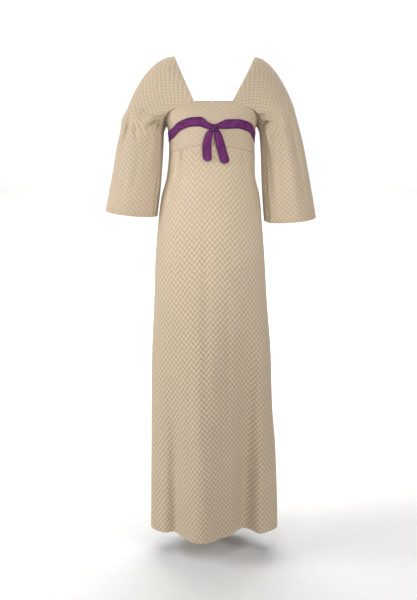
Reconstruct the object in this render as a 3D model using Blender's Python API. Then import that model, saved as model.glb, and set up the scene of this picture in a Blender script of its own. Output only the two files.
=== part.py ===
"""Maxi dress with a ribbon tie, built as closed cloth walls.

Metres, +Z up. The front of the dress faces -Y and the viewer's right is +X, so the
wearer's left is +X. The origin is at the top of the shoulders on the middle line.
"""
import math

import bmesh
import bpy
from mathutils import Matrix, Vector

# Walls and clearances
CLOTH = 0.0018
SEAM_GAP = 0.0005
RIBBON_THICK = 0.0012
RIBBON_CLEAR = 0.0007

# Heights on the middle line
NECK_FRONT = -0.117
NECK_BACK = -0.121
HEM = -1.370
HEM_DIP = 0.10

# Turns round the body, in degrees from the middle front, + towards +X
NECK_CORNER_RIGHT_SIDE = -28.0
NECK_CORNER_LEFT_SIDE = 29.8
BACK_CORNER = 140.0

# Shoulder ends of the neck edge
SHOULDER_LEFT_SIDE = Vector((0.1125, 0.0, 0.0))
SHOULDER_RIGHT_SIDE = Vector((-0.1060, 0.0, 0.002))

# How far forward and back the neck edge runs level over the shoulder
NECK_BOW = 0.062

# Body sections: height, centre x, half width, front depth, back depth, squareness
SECTIONS = (
    (-1.400, 0.0035, 0.1905, 0.076, 0.153, 2.10),
    (-1.370, 0.0035, 0.1900, 0.077, 0.152, 2.10),
    (-1.133, 0.0010, 0.1835, 0.091, 0.144, 2.10),
    (-0.982, -0.0040, 0.1765, 0.102, 0.139, 2.10),
    (-0.833, -0.0055, 0.1720, 0.111, 0.134, 2.10),
    (-0.676, -0.0080, 0.1615, 0.117, 0.129, 2.10),
    (-0.556, -0.0095, 0.1550, 0.117, 0.126, 2.10),
    (-0.450, -0.0095, 0.1455, 0.114, 0.119, 2.10),
    (-0.383, -0.0080, 0.1375, 0.111, 0.108, 2.15),
    (-0.317, -0.0065, 0.1220, 0.108, 0.094, 2.20),
    (-0.260, -0.0045, 0.1188, 0.108, 0.087, 2.25),
    (-0.240, -0.0045, 0.1180, 0.110, 0.088, 2.30),
    (-0.221, -0.0048, 0.1172, 0.113, 0.091, 2.35),
    (-0.205, -0.0050, 0.1190, 0.1155, 0.094, 2.40),
    (-0.185, -0.0055, 0.1225, 0.1165, 0.096, 2.45),
    (-0.165, -0.0050, 0.1280, 0.1135, 0.095, 2.65),
    (-0.140, -0.0040, 0.1330, 0.105, 0.091, 2.90),
    (-0.117, -0.0030, 0.1360, 0.094, 0.084, 3.00),
    (-0.090, -0.0030, 0.1360, 0.084, 0.078, 3.00),
)

# Folds that grow to the hem: side (-1 front, 1 back), x and height at the start,
# x at the hem, half width at the start and at the hem, push outwards at the hem
HEM_FOLDS = (
    (-1, -0.030, -0.480, -0.035, 0.110, 0.088, 0.044),
    (-1, 0.101, -0.500, 0.091, 0.040, 0.052, -0.041),
    (-1, 0.152, -0.700, 0.143, 0.020, 0.025, 0.003),
    (-1, -0.106, -0.800, -0.114, 0.026, 0.030, -0.016),
    (1, -0.070, -0.520, -0.082, 0.050, 0.058, 0.020),
    (1, 0.060, -0.600, 0.070, 0.046, 0.052, 0.016),
    (1, -0.006, -0.450, -0.010, 0.030, 0.040, -0.013),
    (1, 0.128, -0.760, 0.136, 0.028, 0.034, -0.012),
    (1, -0.132, -0.820, -0.140, 0.024, 0.030, -0.009),
)

# Creases that fade at both ends: side, x and height at the top, x and height at the
# bottom, half width, push outwards
CREASES = (
    (-1, -0.087, -0.236, -0.104, -0.400, 0.016, -0.0035),
    (-1, 0.078, -0.236, 0.088, -0.330, 0.014, -0.0025),
    (-1, -0.020, -0.340, -0.022, -1.300, 0.022, -0.0025),
)

# Height of the ribbon's middle line, which hides the seam: turn, height
RIBBON_LINE = (
    (-180.0, -0.2320),
    (-135.0, -0.2280),
    (-90.0, -0.2175),
    (-57.0, -0.2000),
    (-40.0, -0.1780),
    (-26.0, -0.1680),
    (-16.0, -0.1670),
    (-3.0, -0.1780),
    (3.0, -0.1790),
    (20.0, -0.1735),
    (33.0, -0.1730),
    (43.0, -0.1775),
    (54.0, -0.1860),
    (65.0, -0.2005),
    (90.0, -0.2175),
    (135.0, -0.2280),
    (180.0, -0.2320),
)
RIBBON_HALF = 0.012
RIBBON_DRAWN_HALF = 0.0055

# Height of the slanting sleeve seams, from the neck corner at 0 to the armpit at 1
FRONT_SEAM = (
    (0.00, -0.1170),
    (0.25, -0.1290),
    (0.50, -0.1460),
    (0.75, -0.1670),
    (1.00, -0.1850),
)
BACK_SEAM = (
    (0.00, -0.1210),
    (0.30, -0.1360),
    (0.60, -0.1570),
    (0.85, -0.1760),
    (1.00, -0.1850),
)

# Skirt seam heights at front, side and back
SKIRT_SEAM_FRONT = -0.229
SKIRT_SEAM_SIDE = -0.256
SKIRT_SEAM_BACK = -0.247

# Sleeve rings from armpit level to cuff: over-arm x and z, under-arm x and z, front
# depth, back depth (x is measured away from the middle)
LEFT_RINGS = (
    (0.2235, -0.1450, 0.1265, -0.2060, 0.078, 0.074),
    (0.2465, -0.2280, 0.1305, -0.2560, 0.081, 0.076),
    (0.2650, -0.3170, 0.1340, -0.3360, 0.084, 0.078),
    (0.2875, -0.4345, 0.1415, -0.4460, 0.087, 0.079),
)
RIGHT_RINGS = (
    (0.2385, -0.1450, 0.1365, -0.2060, 0.074, 0.071),
    (0.2645, -0.2280, 0.1390, -0.2540, 0.072, 0.073),
    (0.2810, -0.3170, 0.1450, -0.3340, 0.068, 0.075),
    (0.3025, -0.4175, 0.1565, -0.4325, 0.065, 0.077),
)
SLEEVE_SQUARE = 2.2

# Start of each line over the sleeve head: angle from the over-arm line towards the
# underarm, direction away from the middle, backwards and up, length
HEAD_LINES = (
    (0.0, 1.00, 0.00, 0.00, 0.135),
    (45.0, 1.00, -0.12, -0.04, 0.120),
    (90.0, 1.00, 0.10, -0.12, 0.095),
    (120.0, 0.90, 0.22, -0.25, 0.060),
    (150.0, 0.50, 0.15, -0.80, 0.030),
    (180.0, 0.05, 0.00, -1.00, 0.018),
)

# How much further the over-arm line runs out level before it turns down
HEAD_REACH_LEFT = 1.0
HEAD_REACH_RIGHT = 1.45

# Length of each head line's end, where it runs down into the sleeve
HEAD_ENDS = (
    (0.0, 0.165),
    (45.0, 0.130),
    (90.0, 0.095),
    (135.0, 0.050),
    (180.0, 0.018),
)

# Folds in the sleeves: start angle and row, end angle and row, half width, push
# outwards (angle 0 over the arm, 90 front, 180 under the arm; row -1 at the neck, 0
# at armpit level, 1 at the cuff)
LEFT_SLEEVE_FOLDS = (
    (52.0, 0.02, 50.0, 0.80, 0.020, -0.007),
    (82.0, -0.15, 74.0, 0.90, 0.022, 0.005),
    (122.0, -0.10, 118.0, 0.35, 0.018, 0.004),
    (140.0, 0.00, 128.0, 0.90, 0.016, -0.005),
    (-60.0, -0.10, -52.0, 0.75, 0.024, -0.007),
    (-95.0, -0.20, -88.0, 0.80, 0.022, 0.005),
)
RIGHT_SLEEVE_FOLDS = (
    (40.0, -0.05, 42.0, 0.45, 0.016, -0.007),
    (60.0, -0.02, 100.0, -0.30, 0.016, 0.006),
    (128.0, 0.05, 120.0, 0.55, 0.020, 0.004),
    (-55.0, -0.15, -60.0, 0.70, 0.024, -0.007),
    (-90.0, -0.10, -96.0, 0.85, 0.022, 0.005),
)

# Mesh steps
SEAM_STEPS = 8
NECK_STEPS = 10
BACK_NECK_STEPS = 4
BODICE_ROWS = 5
MIDRIFF_ROWS = 3
SKIRT_FRONT_STEPS = 46
SKIRT_BACK_STEPS = 16
SKIRT_ROWS = (0.0, 0.03, 0.07, 0.12, 0.18, 0.25, 0.33, 0.42, 0.52, 0.62, 0.72, 0.82, 0.91, 1.0)
SLEEVE_ROWS = 8
HEAD_ROWS = 6
SLEEVE_AROUND = 32

# Ribbon knot and tails: middle x and height of the knot, half sizes
KNOT_X = 0.002
KNOT_HEIGHT = -0.179
KNOT_HALF = (0.0095, 0.0052, 0.0068)

# Tail rows: share of the length, middle x, half width, distance off the cloth
TAIL_LEFT_ROWS = (
    (0.00, 0.0060, 0.0045, 0.0050),
    (0.12, 0.0088, 0.0092, 0.0056),
    (0.30, 0.0140, 0.0115, 0.0052),
    (0.50, 0.0190, 0.0120, 0.0044),
    (0.70, 0.0240, 0.0122, 0.0040),
    (0.86, 0.0275, 0.0122, 0.0042),
    (0.94, 0.0290, 0.0108, 0.0044),
    (0.98, 0.0296, 0.0084, 0.0046),
    (1.00, 0.0300, 0.0056, 0.0046),
)
TAIL_RIGHT_ROWS = (
    (0.00, -0.0036, 0.0040, 0.0050),
    (0.12, -0.0095, 0.0085, 0.0054),
    (0.30, -0.0150, 0.0105, 0.0050),
    (0.50, -0.0175, 0.0116, 0.0042),
    (0.70, -0.0175, 0.0120, 0.0038),
    (0.86, -0.0165, 0.0120, 0.0040),
    (0.94, -0.0162, 0.0106, 0.0042),
    (0.98, -0.0160, 0.0082, 0.0044),
    (1.00, -0.0160, 0.0056, 0.0044),
)
TAIL_TOP = -0.1850
TAIL_LEFT_END = -0.2775
TAIL_RIGHT_END = -0.2710

# Zip at the middle back
ZIP_EDGE_HALF = 0.0022
ZIP_END = -0.455
ZIP_TOP = -0.1235
TAPE_HALF = 0.012
CHAIN_HALF = 0.0015
SLIDER_HEIGHT = -0.1330
SLIDER_HALF_WIDTH = 0.0042
SLIDER_HALF_LENGTH = 0.0055
PIN_OFF = 0.0050
PIN_RADIUS = 0.0006
TAB_LENGTH = 0.024


def smooth_step(value):
    """Ease from 0 to 1, held outside that range."""
    value = min(1.0, max(0.0, value))
    return value * value * (3.0 - 2.0 * value)


def smooth_row(table, key):
    """Columns after the first at a key, on a smooth curve through the table's rows."""
    if key <= table[0][0]:
        return table[0][1:]
    if key >= table[-1][0]:
        return table[-1][1:]
    last = len(table) - 1
    row = 0
    while table[row + 1][0] < key:
        row += 1
    before = table[max(row - 1, 0)]
    start = table[row]
    end = table[row + 1]
    after = table[min(row + 2, last)]
    span = end[0] - start[0]
    part = (key - start[0]) / span
    square = part * part
    cube = square * part
    values = []
    for column in range(1, len(start)):
        slope = (end[column] - start[column]) / span
        lead = slope
        if row > 0:
            earlier = (start[column] - before[column]) / (start[0] - before[0])
            lead = limited_slope(earlier, slope)
        tail = slope
        if row + 1 < last:
            later = (after[column] - end[column]) / (after[0] - end[0])
            tail = limited_slope(slope, later)
        value = (2 * cube - 3 * square + 1) * start[column]
        value += (cube - 2 * square + part) * span * lead
        value += (3 * square - 2 * cube) * end[column]
        value += (cube - square) * span * tail
        values.append(value)
    return values


def limited_slope(first, second):
    """Slope where two spans meet, flat at a peak so that the curve never overshoots."""
    if first * second <= 0.0:
        return 0.0
    return 2.0 * first * second / (first + second)


def fold_push(x, side, height):
    """Outward push of all folds on one side of the skirt."""
    push = 0.0
    for fold_side, x_top, top, x_hem, half_top, half_hem, depth in HEM_FOLDS:
        if fold_side != side or height > top:
            continue
        part = (top - height) / (top - HEM)
        middle = x_top + (x_hem - x_top) * part
        half = half_top + (half_hem - half_top) * part
        away = abs(x - middle) / half
        if away < 1.0:
            push += depth * smooth_step(part) * 0.5 * (1.0 + math.cos(math.pi * away))
    for fold_side, x_top, top, x_end, end, half, depth in CREASES:
        if fold_side != side or height > top or height < end:
            continue
        part = (top - height) / (top - end)
        away = abs(x - x_top - (x_end - x_top) * part) / half
        if away < 1.0:
            push += depth * math.sin(math.pi * part) * 0.5 * (1.0 + math.cos(math.pi * away))
    return push


def body_surface(turn, height):
    """Outside of bodice, midriff and skirt at a turn in radians and a height."""
    centre, half, front, back, square = smooth_row(SECTIONS, height)
    across = math.sin(turn)
    forward = math.cos(turn)
    depth = front if forward > 0.0 else back
    radius = ((abs(across) / half) ** square + (abs(forward) / depth) ** square) ** (-1.0 / square)
    x = centre + radius * across
    y = -radius * forward
    side = -1 if forward > 0.0 else 1
    fade = smooth_step(abs(forward) / 0.35)
    y += side * fade * fold_push(x, side, height)
    return Vector((x, y, height))


def body_normal(turn, height):
    """Outward direction of the body surface."""
    step = 0.004
    around = body_surface(turn + step, height) - body_surface(turn - step, height)
    up = body_surface(turn, height + step * 0.3) - body_surface(turn, height - step * 0.3)
    return around.cross(up).normalized()


def body_point(turn, height, off):
    """Point at a distance off the outside of the body surface, inwards when negative."""
    return body_surface(turn, height) + off * body_normal(turn, height)


def ribbon_line(turn):
    """Height of the ribbon's middle line and of the seam under it."""
    degrees = math.degrees(turn)
    if degrees > 180.0:
        degrees -= 360.0
    return smooth_row(RIBBON_LINE, degrees)[0]


def sleeve_seam(turn):
    """Top edge of the bodice under the sleeve seam at a turn."""
    degrees = math.degrees(turn)
    if abs(degrees) > 90.0:
        part = (BACK_CORNER - abs(degrees)) / (BACK_CORNER - 90.0)
        return smooth_row(BACK_SEAM, part)[0]
    corner = NECK_CORNER_LEFT_SIDE if degrees > 0.0 else -NECK_CORNER_RIGHT_SIDE
    part = (abs(degrees) - corner) / (90.0 - corner)
    return smooth_row(FRONT_SEAM, part)[0]


def bodice_top(turn):
    """Top edge of the bodice: neck edge between the corners, sleeve seam outside them."""
    degrees = math.degrees(turn)
    if NECK_CORNER_RIGHT_SIDE <= degrees <= NECK_CORNER_LEFT_SIDE:
        return NECK_FRONT
    if abs(degrees) >= BACK_CORNER:
        return NECK_BACK
    return sleeve_seam(turn)


def skirt_seam(turn):
    """Height of the seam between midriff band and skirt."""
    forward = math.cos(turn)
    level = SKIRT_SEAM_SIDE * (1.0 - forward * forward)
    level += (SKIRT_SEAM_FRONT if forward > 0.0 else SKIRT_SEAM_BACK) * forward * forward
    return level


def hem_line(turn):
    """Height of the hem, which hangs a little lower where a fold comes forward."""
    x = body_surface(turn, HEM).x
    forward = math.cos(turn)
    side = -1 if forward > 0.0 else 1
    return HEM - HEM_DIP * smooth_step(abs(forward) / 0.35) * fold_push(x, side, HEM)


def spread(first, last, steps):
    """Evenly spaced values from first to last."""
    return [first + (last - first) * index / steps for index in range(steps + 1)]


def front_turns():
    """Turns of the bodice columns round the front, in radians."""
    turns = spread(-90.0, NECK_CORNER_RIGHT_SIDE, SEAM_STEPS)
    turns += spread(NECK_CORNER_RIGHT_SIDE, NECK_CORNER_LEFT_SIDE, NECK_STEPS)[1:]
    turns += spread(NECK_CORNER_LEFT_SIDE, 90.0, SEAM_STEPS)[1:]
    return [math.radians(turn) for turn in turns]


def back_turns():
    """Turns of the bodice columns round the left side of the back, in radians."""
    turns = spread(90.0, BACK_CORNER, SEAM_STEPS)
    turns += spread(BACK_CORNER, 180.0, BACK_NECK_STEPS)[1:]
    return [math.radians(turn) for turn in turns]


def skirt_turns(first, last, steps):
    """Turns of the skirt columns, spaced evenly along a flattened ring."""
    turns = []
    for angle in spread(first, last, steps):
        turn = math.atan2(1.5 * math.sin(math.radians(angle)), math.cos(math.radians(angle)))
        if angle > 90.0 and turn < 0.0:
            turn += 2.0 * math.pi
        turns.append(turn)
    return turns


def zip_edge(height):
    """Distance of a centre-back edge from the middle line."""
    closing = smooth_step((ZIP_END - height) / 0.010)
    return ZIP_EDGE_HALF + (0.5 * SEAM_GAP - ZIP_EDGE_HALF) * closing


def trimmed(turn, height, toward):
    """Turn moved off a seam, so that two neighbours leave a gap."""
    radius = body_surface(turn, height).xy.length
    half = 0.5 * SEAM_GAP
    if abs(abs(turn) - math.pi) < 0.001:
        half = zip_edge(height)
    return turn + math.copysign(half / radius, toward)


def panel(turns, top, bottom, rows):
    """Outer and inner grids of one panel between two edge curves."""
    outer = []
    inner = []
    last = len(turns) - 1
    for part in rows:
        outer_row = []
        inner_row = []
        for index, turn in enumerate(turns):
            height = top(turn) + (bottom(turn) - top(turn)) * part
            place = turn
            if index == 0:
                place = trimmed(turn, height, turns[1] - turn)
            if index == last:
                place = trimmed(turn, height, turns[-2] - turn)
            outer_row.append(body_point(place, height, 0.0))
            inner_row.append(body_point(place, height, -CLOTH))
        outer.append(outer_row)
        inner.append(inner_row)
    return outer, inner


def lowered(curve, drop):
    """Edge curve moved down by a drop."""
    def moved(turn):
        return curve(turn) - drop
    return moved


def add_wall(name, outer, inner, material, collection, closed=False, flip=False):
    """Closed solid between an outer and an inner grid of points."""
    mesh = bpy.data.meshes.new(name)
    shell = bmesh.new()
    rows = len(outer)
    columns = len(outer[0])
    outside = [[shell.verts.new(point) for point in row] for row in outer]
    inside = [[shell.verts.new(point) for point in row] for row in inner]
    wrap = columns if closed else columns - 1

    def quad(first, second, third, fourth):
        shell.faces.new((first, second, third))
        shell.faces.new((first, third, fourth))

    for row in range(rows - 1):
        for column in range(wrap):
            after = (column + 1) % columns
            quad(outside[row][column], outside[row + 1][column],
                 outside[row + 1][after], outside[row][after])
            quad(inside[row + 1][after], inside[row + 1][column],
                 inside[row][column], inside[row][after])
    for column in range(wrap):
        after = (column + 1) % columns
        quad(outside[0][column], outside[0][after], inside[0][after], inside[0][column])
        quad(outside[-1][after], outside[-1][column], inside[-1][column], inside[-1][after])
    if not closed:
        for row in range(rows - 1):
            quad(outside[row + 1][0], outside[row][0], inside[row][0], inside[row + 1][0])
            quad(outside[row][-1], outside[row + 1][-1], inside[row + 1][-1], inside[row][-1])
    if flip:
        bmesh.ops.reverse_faces(shell, faces=shell.faces)
    shell.to_mesh(mesh)
    shell.free()
    mesh.materials.append(material)
    thing = bpy.data.objects.new(name, mesh)
    collection.objects.link(thing)
    return thing


def mirrored(turns):
    """Turns of the other side of the body, still rising."""
    return [-turn for turn in reversed(turns)]


def add_body(cloth, collection):
    """Bodice, midriff band and skirt panels."""
    half_gap = 0.5 * SEAM_GAP
    front = front_turns()
    back_left = back_turns()
    skirt_front = skirt_turns(-90.0, 90.0, SKIRT_FRONT_STEPS)
    skirt_left = skirt_turns(90.0, 180.0, SKIRT_BACK_STEPS)
    even = spread(0.0, 1.0, BODICE_ROWS)
    band = spread(0.0, 1.0, MIDRIFF_ROWS)
    bodice_bottom = lowered(ribbon_line, -half_gap)
    band_top = lowered(ribbon_line, half_gap)
    band_bottom = lowered(skirt_seam, -half_gap)
    skirt_top = lowered(skirt_seam, half_gap)
    pieces = (
        ("bodice_front", front, bodice_top, bodice_bottom, even),
        ("bodice_back_left", back_left, bodice_top, bodice_bottom, even),
        ("bodice_back_right", mirrored(back_left), bodice_top, bodice_bottom, even),
        ("midriff_front", front, band_top, band_bottom, band),
        ("midriff_back_left", back_left, band_top, band_bottom, band),
        ("midriff_back_right", mirrored(back_left), band_top, band_bottom, band),
        ("skirt_front", skirt_front, skirt_top, hem_line, SKIRT_ROWS),
        ("skirt_back_left", skirt_left, skirt_top, hem_line, SKIRT_ROWS),
        ("skirt_back_right", mirrored(skirt_left), skirt_top, hem_line, SKIRT_ROWS),
    )
    for name, turns, top, bottom, rows in pieces:
        outer, inner = panel(turns, top, bottom, rows)
        add_wall(name, outer, inner, cloth, collection)


def ring_point(rings, side, angle, row):
    """Point on the sleeve below the armpit at an angle in radians and a row 0 to 1."""
    place = row * (len(rings) - 1)
    keyed = [(index,) + ring for index, ring in enumerate(rings)]
    over_x, over_z, under_x, under_z, front, back = smooth_row(keyed, place)
    along = math.cos(angle)
    across = math.sin(angle)
    depth = front if across > 0.0 else back
    radius = (abs(along) ** SLEEVE_SQUARE + abs(across) ** SLEEVE_SQUARE) ** (-1.0 / SLEEVE_SQUARE)
    middle_x = 0.5 * (over_x + under_x)
    middle_z = 0.5 * (over_z + under_z)
    x = middle_x + 0.5 * (over_x - under_x) * along * radius
    z = middle_z + 0.5 * (over_z - under_z) * along * radius
    return Vector((side * x, -depth * across * radius, z))


def seam_start(side, angle):
    """Point on the neck edge or sleeve seam where a head line starts."""
    degrees = math.degrees(angle)
    behind = degrees > 180.0
    if behind:
        degrees = 360.0 - degrees
    shoulder = SHOULDER_LEFT_SIDE if side > 0 else SHOULDER_RIGHT_SIDE
    corner = NECK_CORNER_LEFT_SIDE if side > 0 else -NECK_CORNER_RIGHT_SIDE
    if behind:
        corner = BACK_CORNER
    if degrees <= 90.0:
        turn = side * math.radians(corner)
        start = seam_clear(side, turn, 0.0, behind)
        part = 1.0 - degrees / 90.0
        bow = Vector((shoulder.x, NECK_BOW if behind else -NECK_BOW, shoulder.z))
        first = (1.0 - part) * (1.0 - part)
        return first * start + 2.0 * part * (1.0 - part) * bow + part * part * shoulder
    part = (degrees - 90.0) / 90.0
    turn = side * math.radians(corner + (90.0 - corner) * part)
    return seam_clear(side, turn, part, behind)


def seam_clear(side, turn, part, behind):
    """Point just off the bodice edge, turning from above it to outside it at the armpit."""
    step = 0.01
    height = sleeve_seam(turn)
    edge = body_surface(turn, height)
    along = body_surface(turn + step, sleeve_seam(turn + step))
    along -= body_surface(turn - step, sleeve_seam(turn - step))
    normal = body_normal(turn, height)
    above = along.cross(normal).normalized()
    if above.z < 0.0:
        above.negate()
    tilt = min(0.5 * math.pi, math.radians(170.0) * part ** 3)
    clear = SEAM_GAP * (2.2 + 0.2 * part)
    return edge + clear * (math.cos(tilt) * above + math.sin(tilt) * normal)


def head_point(rings, side, angle, part):
    """Point on the sleeve head, from the seam at part 0 to armpit level at part 1."""
    degrees = math.degrees(angle)
    back = 1.0
    if degrees > 180.0:
        degrees = 360.0 - degrees
        back = -1.0
    start = seam_start(side, angle)
    end = ring_point(rings, side, angle, 0.0)
    out_x, out_y, out_z, length = smooth_row(HEAD_LINES, degrees)
    reach = HEAD_REACH_LEFT if side > 0 else HEAD_REACH_RIGHT
    length *= 1.0 + (reach - 1.0) * smooth_step(1.0 - degrees / 60.0)
    lead = length * Vector((side * out_x, back * out_y, out_z)).normalized()
    down = ring_point(rings, side, angle, 0.02) - end
    tail = smooth_row(HEAD_ENDS, degrees)[0] * down.normalized()
    square = part * part
    cube = square * part
    point = (2 * cube - 3 * square + 1) * start + (cube - 2 * square + part) * lead
    return point + (3 * square - 2 * cube) * end + (cube - square) * tail


def sleeve_fold(folds, angle, row):
    """Outward push of the sleeve's folds at an angle in radians and a row."""
    degrees = math.degrees(angle)
    push = 0.0
    for start_angle, start_row, end_angle, end_row, half, depth in folds:
        turn = (degrees - start_angle + 180.0) % 360.0 - 180.0
        around = turn * 0.00135
        down = (row - start_row) * 0.24
        run_around = (end_angle - start_angle) * 0.00135
        run_down = (end_row - start_row) * 0.24
        length = run_around * run_around + run_down * run_down
        part = (around * run_around + down * run_down) / length
        part = min(1.0, max(0.0, part))
        away = math.hypot(around - part * run_around, down - part * run_down) / half
        if away < 1.0:
            fade = 0.35 + 0.65 * math.sin(math.pi * part)
            push += depth * fade * 0.5 * (1.0 + math.cos(math.pi * away))
    return push


def grid_normals(grid):
    """Outward directions on a closed grid of rings, from neck to cuff."""
    rows = len(grid)
    columns = len(grid[0])
    normals = []
    for row in range(rows):
        line = []
        above = grid[max(row - 1, 0)]
        below = grid[min(row + 1, rows - 1)]
        for column in range(columns):
            around = grid[row][(column + 1) % columns] - grid[row][column - 1]
            down = below[column] - above[column]
            line.append(around.cross(down).normalized())
        normals.append(line)
    return normals


def add_sleeve(name, side, rings, folds, cloth, collection):
    """One sleeve with its head, a closed tube from the neck edge to the cuff."""
    angles = spread(0.0, 2.0 * math.pi, SLEEVE_AROUND)[:-1]
    grid = []
    levels = []
    for part in spread(0.0, 1.0, HEAD_ROWS):
        grid.append([head_point(rings, side, angle, part) for angle in angles])
        levels.append(part - 1.0)
    for part in spread(0.0, 1.0, SLEEVE_ROWS)[1:]:
        grid.append([ring_point(rings, side, angle, part) for angle in angles])
        levels.append(part)
    normals = grid_normals(grid)
    outer = []
    for row, level in enumerate(levels):
        line = []
        for column, angle in enumerate(angles):
            push = sleeve_fold(folds, angle, level) if row > 0 else 0.0
            line.append(grid[row][column] + side * push * normals[row][column])
        outer.append(line)
    normals = grid_normals(outer)
    inner = []
    for row in range(len(outer)):
        line = []
        for column in range(len(angles)):
            line.append(outer[row][column] - side * CLOTH * normals[row][column])
        inner.append(line)
    return add_wall(name, outer, inner, cloth, collection, closed=True, flip=side > 0)


def add_ribbon(material, collection):
    """Ribbon round the body, drawn narrow behind the knot."""
    turns = front_turns()[:-1] + back_turns() + mirrored(back_turns())[1:-1]
    outer = []
    inner = []
    for share in (1.0, 0.0, -1.0):
        outer_row = []
        inner_row = []
        for turn in turns:
            middle = ribbon_line(turn)
            x = body_surface(turn, middle).x
            drawn = smooth_step(abs(x - KNOT_X) / 0.034) if math.cos(turn) > 0.0 else 1.0
            half = RIBBON_DRAWN_HALF + (RIBBON_HALF - RIBBON_DRAWN_HALF) * drawn
            height = middle + share * half
            crown = 0.0004 * (1.0 - abs(share))
            outer_row.append(body_point(turn, height, RIBBON_CLEAR + RIBBON_THICK + crown))
            inner_row.append(body_point(turn, height, RIBBON_CLEAR))
        outer.append(outer_row)
        inner.append(inner_row)
    return add_wall("ribbon_band", outer, inner, material, collection, closed=True)


def front_turn(x, height):
    """Turn of the front surface where it has the given x."""
    low = -0.9
    high = 0.9
    for _ in range(30):
        middle = 0.5 * (low + high)
        if body_surface(middle, height).x < x:
            low = middle
        else:
            high = middle
    return 0.5 * (low + high)


def add_tail(name, rows, end, material, collection):
    """One hanging ribbon end with a rounded tip."""
    outer = []
    inner = []
    for share, x, half, off in rows:
        height = TAIL_TOP + (end - TAIL_TOP) * share
        outer_row = []
        inner_row = []
        for across in (-1.0, -0.35, 0.35, 1.0):
            turn = front_turn(x + across * half, height)
            lift = off + 0.0012 * (1.0 - across * across)
            outer_row.append(body_point(turn, height, lift + RIBBON_THICK))
            inner_row.append(body_point(turn, height, lift))
        outer.append(outer_row)
        inner.append(inner_row)
    return add_wall(name, outer, inner, material, collection)


def add_knot(material, collection):
    """Single knot that holds the tails."""
    turn = front_turn(KNOT_X, KNOT_HEIGHT)
    off = RIBBON_CLEAR + RIBBON_THICK + 0.0010 + KNOT_HALF[1]
    place = body_point(turn, KNOT_HEIGHT, off)
    bpy.ops.mesh.primitive_uv_sphere_add(segments=16, ring_count=10, radius=1.0, location=place)
    knot = bpy.context.active_object
    knot.name = "ribbon_knot"
    knot.scale = KNOT_HALF
    knot.data.materials.append(material)
    move_to(knot, collection)
    return knot


def move_to(thing, collection):
    """Keep an object in one collection only."""
    for owner in list(thing.users_collection):
        owner.objects.unlink(thing)
    collection.objects.link(thing)


def panel_heights(top, bottom, rows):
    """Heights of a panel's rows on the middle back line."""
    return [top + (bottom - top) * part for part in rows]


def back_point(x, height, off):
    """Point at an x off the middle back line and a distance off the cloth."""
    reach = body_surface(math.pi, height).y
    return body_point(math.pi - math.atan2(x, reach), height, off)


def add_zip_tape(material, collection):
    """Zip tape behind the back edges, with the closed chain standing in the gap."""
    half_gap = 0.5 * SEAM_GAP
    seam = ribbon_line(math.pi)
    waist = skirt_seam(math.pi)
    heights = panel_heights(NECK_BACK, seam + half_gap, spread(0.0, 1.0, BODICE_ROWS))
    heights += panel_heights(seam - half_gap, waist + half_gap, spread(0.0, 1.0, MIDRIFF_ROWS))
    heights += panel_heights(waist - half_gap, hem_line(math.pi), SKIRT_ROWS)
    heights = [ZIP_TOP] + [height for height in heights if ZIP_END < height < ZIP_TOP]
    columns = (
        (-TAPE_HALF, 0.0),
        (-CHAIN_HALF - 0.0003, 0.0),
        (-CHAIN_HALF, 1.0),
        (CHAIN_HALF, 1.0),
        (CHAIN_HALF + 0.0003, 0.0),
        (TAPE_HALF, 0.0),
    )
    level = -CLOTH - 0.0006
    chain = -0.0005
    outer = []
    inner = []
    for height in heights:
        outer_row = []
        inner_row = []
        for x, raised in columns:
            outer_row.append(back_point(x, height, level + (chain - level) * raised))
            inner_row.append(back_point(x, height, level - 0.0008))
        outer.append(outer_row)
        inner.append(inner_row)
    return add_wall("zip_tape", outer, inner, material, collection, flip=True)


def slider_frame():
    """Frame on the back: origin on the cloth, x across, y out of the cloth, z up along it."""
    place = body_surface(math.pi, SLIDER_HEIGHT)
    out = body_normal(math.pi, SLIDER_HEIGHT)
    out.x = 0.0
    out.normalize()
    across = Vector((1.0, 0.0, 0.0))
    up = across.cross(out)
    frame = Matrix((across, out, up)).transposed().to_4x4()
    frame.translation = place
    return frame


def add_plate(name, outline, depth, material, collection, holes=()):
    """Flat plate in the x-z plane from an outline, depth along y, middle at the origin."""
    curve = bpy.data.curves.new(name, "CURVE")
    curve.dimensions = "2D"
    curve.fill_mode = "BOTH"
    curve.extrude = 0.5 * depth
    for points in (outline,) + tuple(holes):
        line = curve.splines.new("POLY")
        line.points.add(len(points) - 1)
        line.use_cyclic_u = True
        for spot, (x, z) in zip(line.points, points):
            spot.co = (x, z, 0.0, 1.0)
    shape = bpy.data.objects.new(name, curve)
    bpy.context.scene.collection.objects.link(shape)
    bpy.context.view_layer.update()
    mesh = bpy.data.meshes.new_from_object(shape.evaluated_get(
        bpy.context.evaluated_depsgraph_get()))
    bpy.data.objects.remove(shape)
    mesh.name = name
    mesh.transform(Matrix.Rotation(math.radians(90.0), 4, "X"))
    weld(mesh)
    mesh.materials.clear()
    mesh.materials.append(material)
    plate = bpy.data.objects.new(name, mesh)
    collection.objects.link(plate)
    return plate


def weld(mesh):
    """Merge the doubled edge points of a filled outline and face it outwards."""
    shell = bmesh.new()
    shell.from_mesh(mesh)
    bmesh.ops.remove_doubles(shell, verts=shell.verts, dist=0.00001)
    bmesh.ops.recalc_face_normals(shell, faces=shell.faces)
    shell.to_mesh(mesh)
    shell.free()


def rounded(half_x, half_z, radius, steps=3):
    """Outline of a rectangle with rounded corners."""
    points = []
    for quarter, (sign_x, sign_z) in enumerate(((1, 1), (-1, 1), (-1, -1), (1, -1))):
        for step in range(steps + 1):
            angle = 0.5 * math.pi * (quarter + step / steps)
            x = sign_x * (half_x - radius) + radius * math.cos(angle)
            z = sign_z * (half_z - radius) + radius * math.sin(angle)
            points.append((x, z))
    return points


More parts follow.
